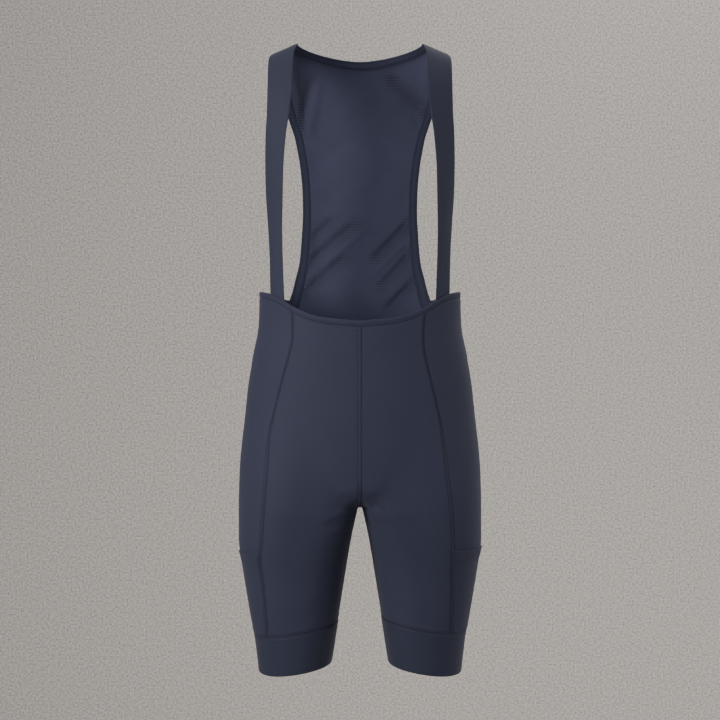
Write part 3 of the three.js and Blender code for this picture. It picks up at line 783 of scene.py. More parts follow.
def stitches(starts, ends, normals, radius, lift):
    """Vertices and faces of bowed threads: rings on the chord, raised by lift * (1 - q^2)."""
    chord = ends - starts
    tangent = chord / np.linalg.norm(chord, axis=1, keepdims=True)
    normal = normals / np.linalg.norm(normals, axis=1, keepdims=True)
    aside = np.cross(tangent, normal)
    q = THREAD_RINGS[None, :, None]
    centre = (starts + ends)[:, None] / 2 + chord[:, None] / 2 * q
    centre = centre + normal[:, None] * (lift * (1 - q * q) - radius * THREAD_SUNK)
    angle = np.linspace(0, 2 * np.pi, THREAD_SIDES, endpoint=False) + np.pi / 4
    girth = radius * THREAD_GIRTH[None, :, None, None]
    cosine, sine = np.cos(angle)[:, None], np.sin(angle)[:, None]
    ring = aside[:, None, None] * cosine + normal[:, None, None] * sine
    vertices = centre[:, :, None] + ring * girth
    rings = len(THREAD_RINGS)
    local = np.arange(rings * THREAD_SIDES).reshape(rings, THREAD_SIDES)
    turned = np.roll(local, -1, axis=1)
    walls = np.stack([local[:-1], turned[:-1], turned[1:], local[1:]], -1).reshape(-1, 4)
    faces = np.concatenate([walls, local[:1, ::-1], local[-1:]])
    offsets = np.arange(len(starts)) * rings * THREAD_SIDES
    return vertices.reshape(-1, 3), (faces[None] + offsets[:, None, None]).reshape(-1, 4)


def resample(path, normals, places):
    """Points and normals of a path at lengths along it."""
    run = np.concatenate([[0], np.cumsum(np.linalg.norm(np.diff(path, axis=0), axis=1))])
    point = np.stack([np.interp(places, run, path[:, i]) for i in range(3)], -1)
    normal = np.stack([np.interp(places, run, normals[:, i]) for i in range(3)], -1)
    return point, normal


def path_length(path):
    return np.linalg.norm(np.diff(path, axis=0), axis=1).sum()


stitch_parts = {}


def add_stitches(seam, starts, ends, normals, radius, lift):
    stitch_parts.setdefault(seam, []).append(stitches(starts, ends, normals, radius, lift))


def flip(path, side):
    return path * (-1, 1, 1) if side == "left" else path


def needle_row(seam, path, normals, side="right"):
    """Stitches one after another along a path of the right half, on the left where it is left."""
    path, normals = flip(path, side), flip(normals, side)
    places = np.arange(STITCH_PITCH, path_length(path) - STITCH_PITCH, STITCH_PITCH)
    half = STITCH_PITCH * STITCH_SHARE / 2
    centre = resample(path, normals, places)[1]
    starts = resample(path, normals, places - half)[0]
    ends = resample(path, normals, places + half)[0]
    add_stitches(seam, starts, ends, centre, THREAD_RADIUS, NEEDLE_LIFT)


def cover_row(seam, path_a, path_b, normals, side="right"):
    """Cover thread that zigzags between two needle rows."""
    path_a, path_b, normals = (flip(part, side) for part in (path_a, path_b, normals))
    length_a, length_b = path_length(path_a), path_length(path_b)
    share = np.arange(STITCH_PITCH, length_a - STITCH_PITCH, STITCH_PITCH) / length_a
    a, normal = resample(path_a, normals, share * length_a)
    b = resample(path_b, normals, share * length_b + STITCH_PITCH / 2)[0]
    back = resample(path_a, normals, share * length_a + STITCH_PITCH)[0]
    add_stitches(seam, a, b, normal, COVER_RADIUS, COVER_LIFT)
    add_stitches(seam, b, back, normal, COVER_RADIUS, COVER_LIFT)


def sew(seam, path_a, path_b, normals, side):
    """Two needle rows and the cover thread between them."""
    needle_row(seam, path_a, normals, side)
    needle_row(seam, path_b, normals, side)
    cover_row(seam, path_a, path_b, normals, side)


def line_at(grid, outer, distance, from_last=False):
    """Line at a distance from a grid's first or last column, on its outer face."""
    run = lengths(grid, 1)
    run = run[:, -1:] - run if from_last else run
    order = slice(None, None, -1) if from_last else slice(None)
    return np.array([
        [np.interp(distance, r[order], p[order, i]) for i in range(3)] for r, p in zip(run, outer)
    ])


def sew_flat(seam, first, second, side):
    """Stitches over the seam between two panels."""
    grid_a, outer_a = grids[f"{first}_panel_{side}"]
    grid_b, outer_b = grids[f"{second}_panel_{side}"]
    path_a = line_at(grid_a, outer_a, NEEDLE_LINE, from_last=True)
    path_b = line_at(grid_b, outer_b, NEEDLE_LINE)
    sew(seam, path_a, path_b, outward(grid_b[:, 0]), side)


for side in ("left", "right"):
    sew_flat(f"front_seam_{side}", "front", "side", side)
    sew_flat(f"side_seam_{side}", "side", "seat", side)

# %% Middle and inner leg seams
LINE_STEP = 3.0


def middle_line(x):
    """Line beside the middle seam, from the waist in front, under the crotch and up the seat."""
    front_z = np.arange(WAIST_FRONT - WAIST_BAND_WIDTH - LINE_STEP, SEAT_LEVEL, -LINE_STEP)
    back_z = np.arange(SEAT_LEVEL, BACK_SEAM_CENTRE - LINE_STEP, LINE_STEP)
    angles = np.radians(np.arange(0, 180.1, 2.0))
    front = meet(stack(x, 0, front_z), stack(0 * front_z, -1, 0))
    back = meet(stack(x, 0, back_z), stack(0 * back_z, 1, 0))
    origin = stack(x + 0 * angles, 0, SEAT_LEVEL)
    under = meet(origin, stack(0 * angles, -np.cos(angles), -np.sin(angles)))
    path = np.concatenate([front, under, back])
    return path, outward(path)


right_path, right_normals = middle_line(NEEDLE_LINE)
right_path = right_path + right_normals * bells(NEEDLE_LINE, MIDDLE_BAND)
left_path, left_normals = right_path * (-1, 1, 1), right_normals * (-1, 1, 1)
middle_normals = right_normals + left_normals
needle_row("middle_seam", right_path, right_normals)
needle_row("middle_seam", left_path, left_normals)
cover_row("middle_seam", left_path, right_path, middle_normals)

for side in ("left", "right"):
    ring = ~panel_rows[side]["open"]
    grid_a, outer_a = (part[ring][::-1] for part in grids[f"front_panel_{side}"])
    grid_b, outer_b = (part[ring][::-1] for part in grids[f"seat_panel_{side}"])
    path_a = line_at(grid_a, outer_a, NEEDLE_LINE)
    path_b = line_at(grid_b, outer_b, NEEDLE_LINE, from_last=True)
    sew(f"inner_leg_seam_{side}", path_a, path_b, outward(grid_a[:, 0]), side)

# %% [markdown]
# ## Thigh pockets
# A flat pocket lies over each side panel, from the cuff seam up to an open mouth. Its mouth is
# a folded hem, held by two rows of stitches.

# %% Pockets
POCKET_HEM = 14
HEM_STITCHES = (POCKET_HEM - 2, POCKET_HEM - 5.5)
POCKET_LIFT = 0.3
POCKET_CLOTH = 1.0
HEM_ZONE = 24


def rows_of_pocket(side):
    mouth, seam = POCKET_MOUTH[side], CUFF_SEAM[side]
    return thigh_rows(np.concatenate([
        mouth - DENSE, steps(mouth - DENSE[-1], mouth - HEM_ZONE, 1.2),
        steps(mouth - HEM_ZONE, seam + DENSE[-1], ROW_PITCH), seam + DENSE[-2::-1],
    ]), side)


def pocket_relief(drop, bottom, sides):
    hem = 0.45 * smoothstep(POCKET_HEM - drop, 0, 1.2) + 0.3 * bell(drop, 0.8, 1.2)
    furrows = 0.35 * sum(bell(drop, place, 0.6) for place in HEM_STITCHES)
    edges = bells(bottom, EDGE_SEAM) + sum(bells(distance, FLAT_BAND) for distance in sides)
    return hem - furrows + edges


for side in ("left", "right"):
    pocket_rows = rows_of_pocket(side)
    start = front_seam_angle(pocket_rows, side)
    angles = seam_columns(pocket_rows, start, back_seam(pocket_rows["level"]), COLUMN_PITCH, "side")
    grid = surface(pocket_rows, angles)
    run, drop = lengths(grid, 1), lengths(grid, 0)
    bottom = drop[-1:] - drop
    sides = (run, run[:, -1:] - run)
    relief = pocket_relief(drop, bottom, sides)
    pressed_edge = 1 - 0.7 * sum(bell(distance, 0, 4) for distance in sides)
    outer = moved(grid, POCKET_LIFT + POCKET_CLOTH * pressed_edge + relief)
    # painted shade along the side seams, in the fold under the hem and along the bottom seam
    shade = np.maximum(*[seam_shade(distance, grid[..., 2]) for distance in sides])
    shade = np.maximum(shade, 0.5 * bell(drop, POCKET_HEM, 1.0) + seam_shade(bottom))
    sheet_piece(f"pocket_{side}", outer, moved(grid, POCKET_LIFT), "lycra", shade, side)
    normals = outward(grid)
    seam = f"pocket_stitches_{side}"
    for column, from_last in ((0, False), (-1, True)):
        needle_row(seam, line_at(grid, outer, NEEDLE_LINE, from_last), normals[:, column], side)
    for place in HEM_STITCHES:
        row = np.argmin(np.abs(drop[:, len(drop[0]) // 2] - place))
        needle_row(seam, outer[row], normals[row], side)

# %% [markdown]
# ## Leg grippers
# A smooth band ends each leg. It is a tube of firmer cloth, a little proud of the leg, with a
# seam on top and a rounded, raw cut hem.

# %% Grippers
GRIPPER = 1.8
CUFF_HEIGHT = 56
CUFF_STITCHES = 2.4
cuff_share = np.concatenate([
    DENSE / CUFF_HEIGHT, steps(DENSE[-1] / CUFF_HEIGHT, 1 - 0.07, 0.05), 1 - DENSE[8:0:-1] / CUFF_HEIGHT, [1],
])
CUFF_COLUMNS = 150
cuff_angles = np.linspace(-180, 180, CUFF_COLUMNS, endpoint=False)
for side in ("left", "right"):
    grid = surface(cuff_rows(cuff_share, side), np.tile(cuff_angles, (len(cuff_share), 1)))
    drop = lengths(grid, 0)
    end = drop[-1:] - drop
    swell = 0.35 * np.sin(np.radians(cuff_angles * 3 + (40 if side == "left" else 110)))
    relief = bells(drop, EDGE_SEAM) + swell * smoothstep(drop, 8, 30) * 0.6 - 0.5 * bell(end, 0, 0.9)
    outer = moved(grid, GRIPPER / 2 + relief)
    closed = np.concatenate([grid, grid[:, :1]], axis=1)
    # painted shade along the seam on top of the gripper
    shade = bell(drop, 0, 1.8)
    sheet_piece(f"cuff_{side}", outer, moved(grid, -GRIPPER / 2), "gripper", shade, side, tube=True)
    row = np.argmin(np.abs(drop[:, 0] - CUFF_STITCHES))
    path = np.concatenate([outer[row], outer[row, :1]])
    needle_row(f"cuff_stitches_{side}", path, outward(closed[row]), side)

# %% [markdown]
# ## Waist band
# The top edge of the shorts is a narrow folded band that rolls over a little. It runs from the
# back corner of one side, round the front, to the other.

# %% Waist band
BAND_STEPS = np.linspace(0, 1, 13)
BAND_THICKNESS = 1.6
BAND_COLUMNS = 60
STITCHED_ROW = 9


def band_half(side):
    """Lines of the band on the right half, from its top edge down to the seam of the panels."""
    edge = hip_rows(np.array([float(WAIST_ROWS_END)]), np.array([0.0]))
    seam = front_seam_angle(edge, side)
    angles = np.concatenate([
        np.linspace(-edge["front_angle"][0], seam[0], BAND_COLUMNS),
        np.linspace(seam[0], back_seam(-356), BAND_COLUMNS)[1:],
    ])
    lower = surface(edge, angles[None])[0]
    turn = np.radians(angles)
    upper = meet(stack(LEG_AXIS, 0, waist_edge(angles)), stack(np.cos(turn), np.sin(turn), 0))
    lower[0, 0] = 0
    upper[0, 0] = 0
    return mix(upper[None], lower[None], BAND_STEPS[:, None, None])


left_half = band_half("left")[:, :0:-1] * (-1, 1, 1)
band = np.concatenate([left_half, band_half("right")], axis=1)
roll = np.sqrt(np.maximum(0.02, 1 - (1 - np.minimum(1, BAND_STEPS / 0.22)) ** 2))
close = np.sqrt(np.maximum(0.02, 1 - (np.maximum(0, BAND_STEPS - 0.9) / 0.1) ** 2))
half_band = BAND_THICKNESS / 2 * roll * close
swell = 0.55 * bell(BAND_STEPS, 0.3, 0.3) - 0.3 * bell(BAND_STEPS, 0.72, 0.07)
offset = (BAND_THICKNESS - LYCRA) / 2 - BAND_THICKNESS / 2
all_columns = np.ones((1, band.shape[1]))
outer_band = moved(band, (offset + half_band + swell * close)[:, None] * all_columns)
inner_band = moved(band, (offset - half_band)[:, None] * all_columns)
# painted shade along the lower edge of the band, where it meets the panels
shade = 0.5 * bell(BAND_STEPS, 1, 0.2)[:, None] * all_columns
waist_band = sheet_piece("waist_binding", outer_band, inner_band, "elastic", shade)
needle_row("waist_stitches", outer_band[STITCHED_ROW], outward(band[STITCHED_ROW]))

# %% [markdown]
# ## Mesh back
# The back is one light panel of ribbed mesh between two armholes. Above the waist it follows the
# figure behind, and near the top it turns over the shoulders. The ribs run across it, close
# together and a little uneven, and a few soft folds pull from the lower left to the upper right.

# %% Figure over the shoulders
SHOULDER_Y = 5
SHOULDER_DROP = 110
SHOULDER_SLOPE = -0.43
NECK_CORNER_HEIGHT = 8
NECK_HALF_WIDTH = 89.3
NECK_CENTRE_HEIGHT = -7.5
NECK_DEPTH = 60
NECK_SEAM_DEPTH = 65
NECK_POWER = 1.6
DOWN_POWER = 1.12
ARMHOLE_TOP = 127
BINDING_WIDTH = 12
LINE_HALF_WIDTH = NECK_HALF_WIDTH + BINDING_WIDTH * 0.9
# height, half width of the mesh back at the armhole
(armhole,) = table([
    (-10, ARMHOLE_TOP),
    (-50, 116),
    (-75, 109.5),
    (-95, 103.3),
    (-113, 96.4),
    (-131, 92.2),
    (-148, 88.8),
    (-184, 85),
    (-215, 84.2),
    (-245, 85.6),
    (-282, 88.4),
    (-318, 95),
    (-335, 98.2),
    (-356, BACK_CORNER),
])


def shoulder_height(x):
    return NECK_CORNER_HEIGHT + SHOULDER_SLOPE * (np.abs(x) - NECK_HALF_WIDTH)


def over_shoulder(x, z, top_y, top_z, facing):
    """Depth of the figure at (x, z), rounded as a quarter circle down from the shoulder line."""
    depth = torso_front(z) if facing < 0 else torso_back(z)
    out = np.minimum(1, np.abs(x) / torso_half(z))
    figure = facing * depth * (1 - out**TORSO_ROUNDNESS) ** (1 / TORSO_ROUNDNESS)
    down = np.clip((top_z - z) / SHOULDER_DROP, 0, 1)
    return top_y + (figure - top_y) * np.sqrt(1 - (1 - down) ** 2)


def neck_line(out, half_width, depth, centre, corner):
    """Neck curve: a superellipse in plan that rises to its corners as a power curve."""
    forward = (1 - out**TORSO_ROUNDNESS) ** (1 / TORSO_ROUNDNESS)
    height = centre + (corner - centre) * out**NECK_POWER
    return stack(half_width * out, SHOULDER_Y + depth * forward, height)


def neck_edge(out):
    return neck_line(out, NECK_HALF_WIDTH, NECK_DEPTH, NECK_CENTRE_HEIGHT, NECK_CORNER_HEIGHT)


def neck_seam(out):
    corner = shoulder_height(LINE_HALF_WIDTH)
    return neck_line(out, LINE_HALF_WIDTH, NECK_SEAM_DEPTH, NECK_CENTRE_HEIGHT - BINDING_WIDTH, corner)


def back_top(x):
    out = np.minimum(1, np.abs(x) / LINE_HALF_WIDTH)
    line = neck_seam(out)
    shoulder = stack(np.abs(x), SHOULDER_Y, shoulder_height(x))
    return np.where((np.abs(x) <= LINE_HALF_WIDTH)[..., None], line, shoulder)


def back_surface(down, share, inset):
    """Points of the back, by how far down they lie and their share of the width within an inset."""
    edge_height = mix(shoulder_height(ARMHOLE_TOP), BACK_CORNER_HEIGHT, down)
    edge = armhole(edge_height)
    whole = share * (1 - inset / edge) if np.ndim(inset) == 0 else 1 - inset / edge
    x = whole * edge
    top = back_top(whole * ARMHOLE_TOP)
    z = mix(top[..., 2], back_seam_height(x), down)
    return stack(x, over_shoulder(x, z, top[..., 1], top[..., 2], 1), z)


def grid_normals(grid, facing):
    """Normals from the two directions of a grid, turned to one side."""
    rows = np.gradient(grid, axis=0)
    columns = np.gradient(grid, axis=1)
    normal = np.cross(rows, columns)
    normal /= np.maximum(np.linalg.norm(normal, axis=-1, keepdims=True), TINY)
    wrong = (normal * facing).sum(-1) < 0
    normal[wrong] *= -1
    at_shoulder = np.abs(grid[..., 1] - SHOULDER_Y) < 1
    normal[at_shoulder, 1] = 0
    return normal / np.linalg.norm(normal, axis=-1, keepdims=True)


def away_from_body(grid):
    return stack(0, grid[..., 1], np.maximum(0, grid[..., 2] + 60))


# %% Mesh back
# from x, from z, to x, to z, half width, height
FOLDS = [
    (-74, -38, -88, -96, 9, 3.6),
    (50, -34, 98, -80, 8, 3.6),
    (-80, -304, -16, -248, 8, 3.2),
    (26, -288, 72, -240, 8, 3.2),
    (46, -362, 86, -320, 8, 2.8),
    (-62, -44, -74, -100, 7, -2.4),
    (38, -48, 78, -94, 7, -2.4),
    (-84, -346, -30, -298, 7, 2.6),
    (-48, -300, 4, -254, 7, -2.2),
    (-84, -276, -44, -238, 7, 2.2),
    (34, -330, 80, -280, 7, 2.6),
    (16, -322, 62, -276, 6, -1.8),
    (-60, -150, -20, -120, 12, 1.0),
    (10, -190, 52, -160, 12, 1.0),
]
MESH_CLOTH = 1.0
RIB_PITCH = 3.83
RIB_HEIGHT = 0.3
FOLD_START = 10
HELD_SHARES = (0.01, 0.13)
PULL_HALF_WIDTH = 15
MESH_ROWS = 620
MESH_COLUMNS = 36
EDGE_SHARES = np.array([0, 0.006, 0.014, 0.024, 0.04])

mesh_down = (np.linspace(0, 1, MESH_ROWS)[:, None]) ** DOWN_POWER
corner_share = LINE_HALF_WIDTH / (ARMHOLE_TOP - BINDING_WIDTH)
half_shares = np.linspace(0, 1, MESH_COLUMNS // 2 + 1)
half_shares = np.unique(np.concatenate([half_shares, [corner_share], 1 - EDGE_SHARES]))
mesh_shares = np.concatenate([-half_shares[:0:-1], half_shares])
back_grid = back_surface(mesh_down, mesh_shares[None], BINDING_WIDTH)
drop = lengths(back_grid, 0)
held = smoothstep(1 - np.abs(mesh_shares), *HELD_SHARES)
held = held * smoothstep(drop, 0, FOLD_START) * smoothstep(drop[-1:] - drop, 0, FOLD_START)
for row in FOLDS:
    back_grid[..., 1] += ridge(back_grid[..., 0], back_grid[..., 2], *row) * held
back_normals = grid_normals(back_grid, away_from_body(back_grid))
x, z = back_grid[..., 0], back_grid[..., 2]
pulled = sum(ridge(x, z, *row[:4], PULL_HALF_WIDTH, 1) for row in FOLDS if row[5] > 1)
ripple = np.sin(x * 0.11 + np.sin(z * 0.05) * 3)
rib_depth_and_shade = np.clip(0.3 + 0.12 * ripple + 1.1 * pulled, 0, 1.3)
rib_wave = np.cos(2 * np.pi * z / RIB_PITCH)
fade = smoothstep(drop, 1, 5) * smoothstep(drop[-1:] - drop, 1, 5)
ribs = RIB_HEIGHT * rib_depth_and_shade * rib_wave * fade
outer_back = back_grid + back_normals * (MESH_CLOTH / 2 + ribs)[..., None]
inner_back = back_grid - back_normals * (MESH_CLOTH / 2 + ribs * 0.9)[..., None]
# painted shade in the valleys between the ribs, stronger along the folds
shade = (0.5 - 0.5 * rib_wave) * rib_depth_and_shade * fade
sheet_piece("back_mesh_panel", outer_back, inner_back, "mesh", shade, name="back_mesh")

# %% [markdown]
# ## Bindings of the neck and the armholes
# The raw edges of the mesh are bound with a folded strip 12 mm wide, darker than the mesh and
# sewn down with two rows of stitches. Its section is a flat lozenge with round edges, pinched at
# the two rows.

# %% Bindings
BINDING = 2.0
ACROSS = np.linspace(0, 1, 17)
STITCH_PLACES = (0.2, 0.8)
BINDING_ROWS = 190
NECK_COLUMNS = 60
NECK_CROWDING = 1.5


def binding_height(share):
    """Half thickness of a folded strip: round at both edges and pinched along its stitches."""
    edge = (1 - np.abs(2 * share - 1) ** 7) ** 0.5
    pinch = sum(0.28 * bell(share, place, 0.05) for place in STITCH_PLACES)
    return BINDING / 2 * np.maximum(edge, 0.12) - pinch * edge


def bind(node, grid, cut, seam, side="right"):
    """Strip with the binding's section over a grid, stitched where two rows press it, with painted shade
    along both rows and its outer edge.
    """
    every_row = np.ones((len(grid), 1))
    height = binding_height(ACROSS) * every_row
    normals = grid_normals(grid, away_from_body(grid))
    outer = grid + normals * height[..., None]
    inner = grid - normals * height[..., None]
    # painted shade along the two stitch grooves and the outer edge of the strip
    rows = sum(bell(ACROSS, place, 0.07) for place in STITCH_PLACES) + bell(ACROSS, 1, 0.08)
    sheet_piece(node, outer, inner, "elastic", rows * every_row, side)
    for place in STITCH_PLACES:
        column = round(place * (len(ACROSS) - 1))
        needle_row(seam, outer[:, column], normals[:, column], side)
        needle_row(seam, inner[:, column], -normals[:, column], side)


binding_down = np.linspace(0, 1, BINDING_ROWS)[:, None] ** DOWN_POWER
strip_grid = back_surface(binding_down, 1, BINDING_WIDTH * (1 - ACROSS)[None])
for side in ("left", "right"):
    bind(f"armhole_binding_{side}", strip_grid, strip_grid, f"armhole_stitches_{side}", side)

neck_share = 1 - (1 - np.linspace(0, 1, NECK_COLUMNS)) ** NECK_CROWDING
neck_half = mix(neck_edge(neck_share)[:, None], neck_seam(neck_share)[:, None], ACROSS[None, :, None])
neck_grid = np.concatenate([neck_half[:0:-1] * (-1, 1, 1), neck_half])
bind("neck_binding", neck_grid, neck_grid.swapaxes(0, 1), "neck_stitches")

# %% [markdown]
# ## Straps
# Each strap is a flat woven elastic. It is sewn to the mesh back on the shoulder, lies over the
# front of the figure, turns outward with it, and ends behind the waist band.

# %% Straps
WEBBING = 1.4
STRAP_CLEARANCE = 2.4
STRAP_END = -373
STRAP_MIDDLE = 110.0
STRAP_STITCHES = (2.5, 6)
# height, inner edge, outer edge
strap_inner, strap_outer = table([
    (8, 89, 127.4),
    (-10, 93.5, 128),
    (-17, 93.8, 129.6),
    (-60, 95, 130.2),
    (-100, 98.6, 131.5),
    (-131, 103.6, 133.6),
    (-180, 107.8, 134.8),
    (-215, 108.8, 134.2),
    (-256, 109.8, 131.6),
    (-290, 109.4, 129.4),
    (-347, 107.2, 127.6),
    (-373, 106, 127),
])
STRAP_ROWS = 200
turn_share = np.linspace(0, 1, STRAP_ROWS // 3)
straight_share = np.linspace(0, 1, STRAP_ROWS - STRAP_ROWS // 3 + 1)[1:]
strap_across = np.linspace(0, 1, 25)[None]


def strap_grid():
    """Rows down the strap: a quarter turn over the shoulder, then straight down to the waist."""
    turned = 1 - np.cos(turn_share * np.pi / 2)
    shoulder = np.concatenate([turned, np.ones(len(straight_share))])[:, None]
    straight = np.concatenate([np.zeros(len(turn_share)), straight_share])[:, None]
    x = np.full((len(shoulder), strap_across.size), STRAP_MIDDLE)
    for _ in range(SETTLING_TURNS):
        z = mix(shoulder_height(x) - SHOULDER_DROP * shoulder, STRAP_END, straight)
        x = mix(strap_inner(z), strap_outer(z), strap_across)
    return stack(x, over_shoulder(x, z, SHOULDER_Y, shoulder_height(x), -1), z)


strap = strap_grid()
strap_normals = grid_normals(strap, away_from_body(strap))
sunk = -STRAP_CLEARANCE * smoothstep(-strap[..., 2], 0, SHOULDER_DROP)
edge = np.sqrt(np.maximum(0.06, 1 - np.abs(2 * strap_across - 1) ** 10))
selvedge = 0.18 * (bell(strap_across, 0.05, 0.03) + bell(strap_across, 0.95, 0.03))
cords = 0.05 * np.cos(strap_across * 2 * np.pi * 11)
middle = strap + strap_normals * (sunk - WEBBING / 2)[..., None]
face = (WEBBING / 2 * edge + selvedge + cords) * np.ones(sunk.shape)
outer_strap = middle + strap_normals * face[..., None]
inner_strap = middle - strap_normals * face[..., None]
for side in ("left", "right"):
    sheet_piece(f"strap_{side}", outer_strap, inner_strap, "webbing", side=side)
    for place in STRAP_STITCHES:
        row = np.argmin(np.abs(lengths(strap, 0)[:, strap_across.size // 2] - place))
        line = outer_strap[row, 1:-1]
        needle_row(f"shoulder_stitches_{side}", line, strap_normals[row, 1:-1], side)

# %% [markdown]
# ## Seat pad
# Inside, a foam pad is sewn under the crotch and the seat. Lines that start at the middle seam
# follow the inner face of the cloth sideways. The pad is thick in the middle, thins out to its
# edge, and two channels part the cushions of the seat.

# %% Seat pad
PAD = 8
PAD_START = 43
PAD_FINISH = 178
PAD_CLEARANCE = 4
PAD_EDGE = 0.4
(pad_half_width,) = table([
    (43, 14),
    (48, 28),
    (60, 38),
    (90, 48),
    (120, 62),
    (145, 74),
    (165, 68),
    (178, 34),
])
PAD_STRIDES = 60


def pad_lines(angles):
    """Points and normals on lines that creep sideways over the cloth from the middle seam."""
    turn = np.radians(angles)
    start = crotch_point(angles)
    x = np.zeros(len(angles))
    reach = np.hypot(start[:, 1], start[:, 2] - SEAT_LEVEL)
    stride = pad_half_width(angles) / PAD_STRIDES
    points, normals = [], []
    for _ in range(PAD_STRIDES + 1):
        point = stack(x, -reach * np.cos(turn), SEAT_LEVEL - reach * np.sin(turn))
        normal = outward(point)
        points.append(point)
        normals.append(normal)
        away = -normal[:, 1] * np.cos(turn) - normal[:, 2] * np.sin(turn)
        size = np.hypot(normal[:, 0], away)
        x = x + stride * away / size
        reach = reach - stride * normal[:, 0] / size
        slip = field(x, -reach * np.cos(turn), SEAT_LEVEL - reach * np.sin(turn))
        reach = reach - slip * away
        x = x - slip * normal[:, 0]
    return np.stack(points, 1), np.stack(normals, 1)


pad_angles = np.linspace(PAD_START, PAD_FINISH, 110)
pad_points, pad_normals = pad_lines(pad_angles)
share = np.linspace(0, 1, PAD_STRIDES + 1)[None]
ends = (pad_angles[:, None] - PAD_START) / (PAD_FINISH - PAD_START)
taper = np.sqrt(np.maximum(0, 1 - np.abs(2 * ends - 1) ** 12)) * np.sqrt(np.maximum(0, 1 - share**5))
from_middle = share * pad_half_width(pad_angles)[:, None]
channel = 0.5 * bell(from_middle, 10, 2.4) * smoothstep(pad_angles, 70, 95)[:, None]
crown = (0.35 + 0.65 * smoothstep(pad_angles, 60, 120)[:, None]) * PAD
thickness = np.maximum(PAD_EDGE, crown * taper * (1 - channel))
face_depth = LYCRA + PAD_CLEARANCE
lower = pad_points - pad_normals * face_depth
upper = pad_points - pad_normals * (face_depth + thickness)[..., None]


def both_halves(half):
    return np.concatenate([half[:, :0:-1] * (-1, 1, 1), half], axis=1)


pad = shell("seat_pad", both_halves(upper), both_halves(lower), "foam")
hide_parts("chamois_pad")

# %% [markdown]
# ## The stitches as pieces
# Each seam's stitches become one mesh. Thread has no slot of its own in the record, so it goes
# with the bindings, and it has a finish of its own here.

# %% Stitch pieces
thread_pieces = []
for seam, parts in stitch_parts.items():
    vertices = np.concatenate([part[0] for part in parts])
    counts = np.cumsum([0] + [len(part[0]) for part in parts[:-1]])
    faces = np.concatenate([part[1] + count for part, count in zip(parts, counts)])
    if signed_volume(vertices, faces) < 0:
        faces = faces[:, ::-1]
    thread_pieces.append(new_mesh(f"{seam}_thread", vertices, faces, "elastic"))
thread_faces = sum(len(piece.data.polygons) for piece in thread_pieces)
print("stitch pieces:", len(thread_pieces), "with", thread_faces, "faces")

# %% [markdown]
# ## Finishes
# Knitted cloth is matt with a soft sheen at grazing angles. Its surface is rows of loops, far
# finer than the seams. One node group makes the height of the loops from the UV map, one makes
# the slight unevenness of the dye, and one paints shade into the furrows of the seams and between the ribs.

# %% Node helpers


def add_node(tree, kind, **values):
    """A node with some of its inputs set, or linked where the value is another node's output."""
    node = tree.nodes.new(kind)
    for key, value in values.items():
        if key.startswith("set_"):
            setattr(node, key[4:], value)
            continue
        socket = node.inputs[int(key[1:])] if key[1:].isdigit() else node.inputs[key.replace("_", " ")]
        if isinstance(value, bpy.types.NodeSocket):
            tree.links.new(value, socket)
        else:
            socket.default_value = value
    return node


def new_group(name, inputs, outputs):
    """Node group with named inputs (name, kind, value) and outputs (name, kind)."""
    tree = bpy.data.node_groups.new(name, "ShaderNodeTree")
    for label, kind, value in inputs:
        socket = tree.interface.new_socket(label, in_out="INPUT", socket_type=kind)
        if value is not None:
            socket.default_value = value
    for label, kind in outputs:
        tree.interface.new_socket(label, in_out="OUTPUT", socket_type=kind)
    return tree, tree.nodes.new("NodeGroupInput").outputs, tree.nodes.new("NodeGroupOutput").inputs


def math_node(tree, operation, a, b=0.0):
    return add_node(tree, "ShaderNodeMath", set_operation=operation, i0=a, i1=b).outputs[0]


def wave(tree, coordinate, pitch, shift=0.0):
    """1 on the tops and 0 between them: half of 1 plus the sine of the place over the pitch."""
    turns = math_node(tree, "DIVIDE", coordinate, pitch)
    turns = math_node(tree, "ADD", turns, shift)
    angle = math_node(tree, "MULTIPLY", turns, 2 * math.pi)
    sine = math_node(tree, "SINE", angle)
    half = add_node(tree, "ShaderNodeMath", set_operation="MULTIPLY_ADD", i0=sine, i1=0.5, i2=0.5)
    return half.outputs[0]


# %% Knitted loops
loops, given, result = new_group(
    "knitted_loops",
    [("Vector", "NodeSocketVector", None), ("Wale", "NodeSocketFloat", 0.0006),
     ("Course", "NodeSocketFloat", 0.0005)],
    [("Height", "NodeSocketFloat")],
)
split = add_node(loops, "ShaderNodeSeparateXYZ", Vector=given["Vector"]).outputs
wale = wave(loops, split["X"], given["Wale"])
half_turn = math_node(loops, "MULTIPLY", wale, 0.5)
course = wave(loops, split["Y"], given["Course"], half_turn)
loops.links.new(math_node(loops, "MULTIPLY", wale, course), result["Height"])

# %% Uneven dye
dye, given, result = new_group(
    "uneven_dye",
    [("Color", "NodeSocketColor", (0.1, 0.1, 0.1, 1)), ("Vector", "NodeSocketVector", None),
     ("Amount", "NodeSocketFloat", 0.08)],
    [("Color", "NodeSocketColor")],
)
coarse = add_node(dye, "ShaderNodeTexNoise", Vector=given["Vector"], Scale=22.0, Detail=4.0).outputs["Fac"]
fine = add_node(dye, "ShaderNodeTexNoise", Vector=given["Vector"], Scale=900.0, Detail=2.0).outputs["Fac"]
both = math_node(dye, "ADD", coarse, fine)
swing = math_node(dye, "SUBTRACT", both, 1.0)
amount = math_node(dye, "MULTIPLY", swing, given["Amount"])
factor = math_node(dye, "ADD", amount, 1.0)
tinted = add_node(dye, "ShaderNodeVectorMath", set_operation="SCALE", Vector=given["Color"], Scale=factor)
dye.links.new(tinted.outputs[0], result["Color"])

# %% Painted seam shade
painted_shade_group, given, result = new_group(
    "painted_seam_shade",
    [("Color", "NodeSocketColor", (0.1, 0.1, 0.1, 1)), ("Seam", "NodeSocketFloat", 0.0),
     ("Darkness", "NodeSocketFloat", 0.35)],
    [("Color", "NodeSocketColor")],
)
